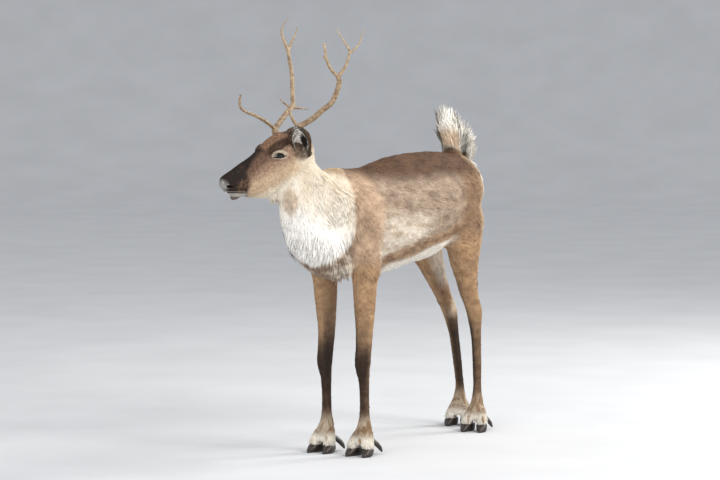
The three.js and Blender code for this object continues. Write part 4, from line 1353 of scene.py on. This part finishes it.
def face_colour(p):
    """The markings of the head, in the head's frame."""
    u, v, w = p.u, p.v, p.w
    side = abs(v)
    wander = p.noise(24, 2.0)
    streak = p.noise(8, 3.0, (1.0, 1.0, 1.0), 5.0)
    fine = p.step(streak, -0.5, 0.5)
    below = 30 - (u - 108) * 0.145 - w + wander * 4
    forward = p.step(u, 120, 205)
    # the ground colours of cheek, jaw and jowl
    cheek = p.pair(fine, "866a56", "ae917a")
    pale = p.pair(fine, "d8c5a8", "efe6d6")
    lip = p.pair(fine, "b3977b", "d0b99d")
    colour = p.mix(p.step(below - (200 - u) * 0.1, 48, 84), cheek, lip)
    colour = p.mix(p.step(w + wander * 9 + (u - 60) * 0.1, -72, -104), colour, pale)
    jowl = p.mix(p.step(w + wander * 8, -26, -78), p.pair(fine, "83694f", "a88d72"), paint("e6dac7"))
    colour = p.mix(p.step(u + wander * 10, 48, 4), colour, jowl)
    # the dark of the brow, the forehead, the stripe over the eye, the ear's root and the poll
    shade = p.step(below - forward * 8, 62, 24) * p.step(u, 66, 106)
    colour = p.mix(shade * 0.92, colour, p.pair(fine, "48342a", "6a5040"))
    forehead = p.pair(fine, "674b39", "94745c")
    colour = p.mix(p.step(w + wander * 5, 8, 20) * p.step(u, 116, 96), colour, forehead)
    over_eye = p.step(abs(w - 17 + wander * 3), 15, 7) * p.step(u, -30, 0) * p.step(u, 126, 96)
    over_eye = over_eye * p.step(side, 20, 34)
    colour = p.mix(over_eye * 0.9, colour, p.pair(fine, "23170f", "4e382a"))
    root = p.spot((u + 4.0) / 46.0, (side - 56.0) / 42.0, (w + 22.0) / 46.0)
    colour = p.mix(root * 0.9, colour, p.pair(fine, "3a2c22", "7d6a58"))
    poll = p.step(u + wander * 10, 28, 2) * p.step(w + wander * 6, 0, 20)
    colour = p.mix(poll * 0.9, colour, p.pair(fine, "2a1d15", "5a4535"))
    # the black bridge of the nose and the muzzle, with a painted grey highlight on the nose's tip
    black = p.step(below - 8 - forward * 17, 8, -5) * p.step(u, 96, 118)
    colour = p.mix(black, colour, paint("211813"))
    muzzle = p.step(u + (w + 40) * 0.22 + wander * 6, 198, 216)
    colour = p.mix(muzzle, colour, p.pair(p.step(streak + wander, 0.0, 0.8), "231a15", "4a3428"))
    patch = p.spot((u - 224.0) / 34.0, (side - 34.0) / 30.0, (w + wander * 8 + 46.0) / 30.0)
    colour = p.mix(patch * 0.5, colour, p.pair(p.step(streak, -0.2, 0.4), "4a3325", "8d705a"))
    # painted highlight: pale grey on the front of the nose's tip
    nose_highlight = p.step(u + wander * 6 - abs(w + 14) * 0.3, 264, 280) * p.step(w, -50, -34)
    colour = p.mix(nose_highlight * 0.8, colour, p.pair(fine, "8b8985", "c4c2bd"))
    # the lips and the line between them: dark lip skin with painted shade in the slit, and a painted shadow
    # under the lower lip on the chin's grey-brown
    height = w + 55 - (u - 257) * MOUTH_SLOPE
    on_lips = p.step(u, 214, 226)
    upper_edge = p.step(height, 5.5, 3.2) * p.step(height, -0.5, 1) * on_lips
    colour = p.mix(upper_edge * 0.75, colour, paint("b8ab9c"))
    # partly painted shadow: the lower lip is pale at its top and darker below it, where the chin is
    # grey-brown and lies in the lip's shadow
    lower_lip = p.step(height, 0.5, -1.5) * p.step(u, 208, 226)
    colour = p.mix(lower_lip, colour, p.pair(p.step(height, -17, -10), "665b53", "aaa49d"))
    # partly painted shade: the slit between the lips is near black
    slit = p.step(abs(height - 0.4), 2.6, 1.2) * on_lips
    colour = p.mix(slit, colour, paint("100b09"))
    # the pale ring round each eye, the dark rims of the lids, and the nostrils near black: their dark skin
    # with painted shade inside them
    across, up = u - EYE["x"], w - EYE["z"] - (u - EYE["x"]) * 0.3
    away = (across * across * 0.62 + up * up * 1.7).root()
    ring = p.step(away + wander * 4, 22.5, 18) * p.step(side, 26, 34)
    colour = p.mix(ring * 0.75, colour, p.pair(fine, "a5947b", "ddd3c1"))
    colour = p.mix(p.step(p.mark("rim"), 0.2, 0.7), colour, paint("15100d"))
    # partly painted shade: the inside of each nostril, near black
    return p.mix(p.step(p.mark("nostril"), 0.1, 0.5), colour, paint("0c0908"))


def ear_colour(p, colour):
    """The ear's dark rim and back, and the pale hair in its cup, darker low in the cup, with painted shade
    near black in its hole.
    """
    ear = p.mark("ear")
    streak = p.noise(6, 3.0)
    outside = p.pair(p.step(streak, -0.3, 0.4), "33261e", "6d5544")
    colour = p.mix(p.step(ear, 0.3, 0.7), colour, outside)
    hairs = p.noise(7, 3.0, (1.0, 1.0, 0.3), 4.0)
    cup = p.pair(p.step(hairs, -0.35, 0.25), "85786b", "f2eee7")
    cup = p.mix(p.step(p.z, 1010, 985), cup, p.pair(p.step(streak, -0.4, 0.4), "4c3c31", "a39586"))
    # painted shade: near black in the hole, deep in the cup
    cup = p.mix(p.step(ear, 2.15, 2.8), cup, paint("1d1612"))
    return p.mix(p.step(ear, 1.55, 1.85), colour, cup)


def coat_paint(name):
    """The coat's markings; a tuft is darker at its root, paler at its tip, and a little its own tone."""
    p = Paint(name, 0.78, 0.25)
    shares = zip((p.x, p.y, p.z), HEAD_CUT["at"], HEAD_CUT["normal"])
    ahead = [(place - float(at)) * float(lean) for place, at, lean in shares]
    head = p.step(ahead[0] + ahead[1] + ahead[2], -12, 12) * p.step(p.x, 420, 450)
    colour = p.mix(head, body_colour(p), face_colour(p))
    colour = ear_colour(p, colour)
    calm = 1.0 - p.step(p.x - abs(p.y) * 0.5, 380, 404) * 0.6
    shade = 1.0 + ((p.mark("tip") - 0.7) * 0.34 + (p.mark("tone") - 0.5) * 0.26) * calm
    p.bump(p.noise(3, 2.0), 0.4)
    return p.finish(p.scale(colour, shade))


def plain_paint(name, low, high, size, roughness, specular=0.5, depth=0.0, stretch=(1.0, 1.0, 1.0)):
    """A finish that wanders between two near colours, with an optional grain."""
    p = Paint(name, roughness, specular)
    grain = p.noise(size, 3.0, stretch)
    if depth:
        p.bump(grain, depth)
    return p.finish(p.pair(p.step(grain, -0.6, 0.6), low, high))


def antler_paint():
    """Dry antler: mottled brown, paler towards the tips, with a fine grain."""
    p = Paint("antler", 0.5, 0.4)
    grain = p.noise(10, 3.0)
    fine = p.noise(2.5, 3.0)
    colour = p.pair(p.step(grain + fine * 0.5, -0.5, 0.5), "67503b", "b09878")
    colour = p.mix(p.step(p.z, 1180, 1420) * 0.4, colour, paint("c2ae90"))
    p.bump(fine + grain, 0.5)
    return p.finish(colour)


# Putting it together

skin = make_skin()
coat = coat_paint("coat")
dress(skin, coat)
flesh_nodes = ["torso", "neck", "head", "tail", "ear_left", "ear_right"]
for leg in LEGS:
    upper = "forearm" if leg.startswith("fore") else "shank"
    flesh_nodes += [leg + "_" + part for part in (upper, "cannon", "foot")]
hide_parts(*flesh_nodes)
make_coat(skin, coat)

bone = antler_paint()
for side in ("left", "right"):
    dress(antler(side), bone)

horn = plain_paint("horn", "1b1613", "3a3029", 8, 0.42, 0.5, 0.25, (1.0, 1.0, 3.0))
for name, leg in LEGS.items():
    for toe in (1, -1):
        place = "outer" if toe == (1 if leg["foot"][1] > 0 else -1) else "inner"
        small_piece(name + "_horn_" + place, hoof(leg, toe), name + "_hoof_" + place, horn)
        small_piece(name + "_claw_" + place, dewclaw(leg, toe), name + "_dewclaw_" + place, horn)

eye = Paint("eye", 0.12, 0.3)
eye.shader.inputs["Coat Weight"].default_value = 0.25
eye_material = eye.finish(eye.pair(eye.step(eye.noise(6), -0.3, 0.4), "070505", "150d09"))
for side, name in ((1, "left"), (-1, "right")):
    ball_part = on_head(ball(eye_at(side), [EYE["radius"]] * 3, 0, 48))
    small_piece("eyeball_" + name, ball_part, "eye_" + name, eye_material)

# Floor: a wide dish, level in the middle, whose rim curves up behind every view

LEVEL, RIM = 14, 6  # metres: the radius of the level part, and that of the rim's curve
FLOOR_SIDES = 96
rise = np.linspace(0, np.pi / 2, 16)
profile = np.stack([LEVEL + RIM * np.sin(rise), RIM - RIM * np.cos(rise)], -1)
around = np.linspace(0, 2 * np.pi, FLOOR_SIDES, endpoint=False)
circle = np.stack([np.cos(around), np.sin(around), np.zeros(FLOOR_SIDES)], -1)
rings = [circle * radius + [0, 0, height] for radius, height in profile]
points, (bands, fans) = tube(rings, (0, 0, 0), (0, 0, 0))
floor = make_mesh("floor", points[:-1], [bands, fans[:FLOOR_SIDES]])
floor.data.materials.append(plain_paint("floor", "c6c7c9", "cdced0", 400, 0.9, 0.2))

# Light and camera

CAMERA_AT = [7799.636, 5065.143, 1292]
CAMERA_AIM = [99.478, -113.197, 673.652]
LENS, FILM = 140, 36  # focal length, and width of the picture behind it


def lamp(name, at, aim, size, power, colour):
    """A round soft light, aimed at a point."""
    light = bpy.data.lights.new(name, "AREA")
    light.shape = "DISK"
    light.size = size
    light.energy = power
    light.color = colour
    made = bpy.data.objects.new(name, light)
    made.location = at
    made.rotation_euler = (Vector(aim) - Vector(at)).to_track_quat("-Z", "Y").to_euler()
    bpy.context.scene.collection.objects.link(made)


lamp("key", (0.0, 4.7, 3.7), (0, 0, 0.7), 2.4, 190, (1.0, 0.97, 0.92))
lamp("fill", (4.5, 0.4, 2.6), (0, 0, 0.8), 3.5, 110, (0.99, 0.98, 0.98))
lamp("rim", (-3.6, 1.8, 3.0), (0, 0, 0.8), 1.6, 150, (1.0, 0.98, 0.94))
world = bpy.data.worlds.new("studio")
world.use_nodes = True
world.node_tree.nodes["Background"].inputs[0].default_value = (0.9, 0.92, 0.95, 1)
world.node_tree.nodes["Background"].inputs[1].default_value = 0.82
bpy.context.scene.world = world
bpy.context.scene.view_settings.view_transform = "Standard"

camera_data = bpy.data.cameras.new("camera")
camera_data.lens = LENS
camera_data.sensor_width = FILM
camera_data.clip_end = 100
camera = bpy.data.objects.new("camera", camera_data)
camera_at, camera_aim = Vector(to_frame(CAMERA_AT)), Vector(to_frame(CAMERA_AIM))
camera.location = camera_at
camera.rotation_euler = (camera_aim - camera_at).to_track_quat("-Z", "Y").to_euler()
bpy.context.scene.collection.objects.link(camera)
bpy.context.scene.camera = camera
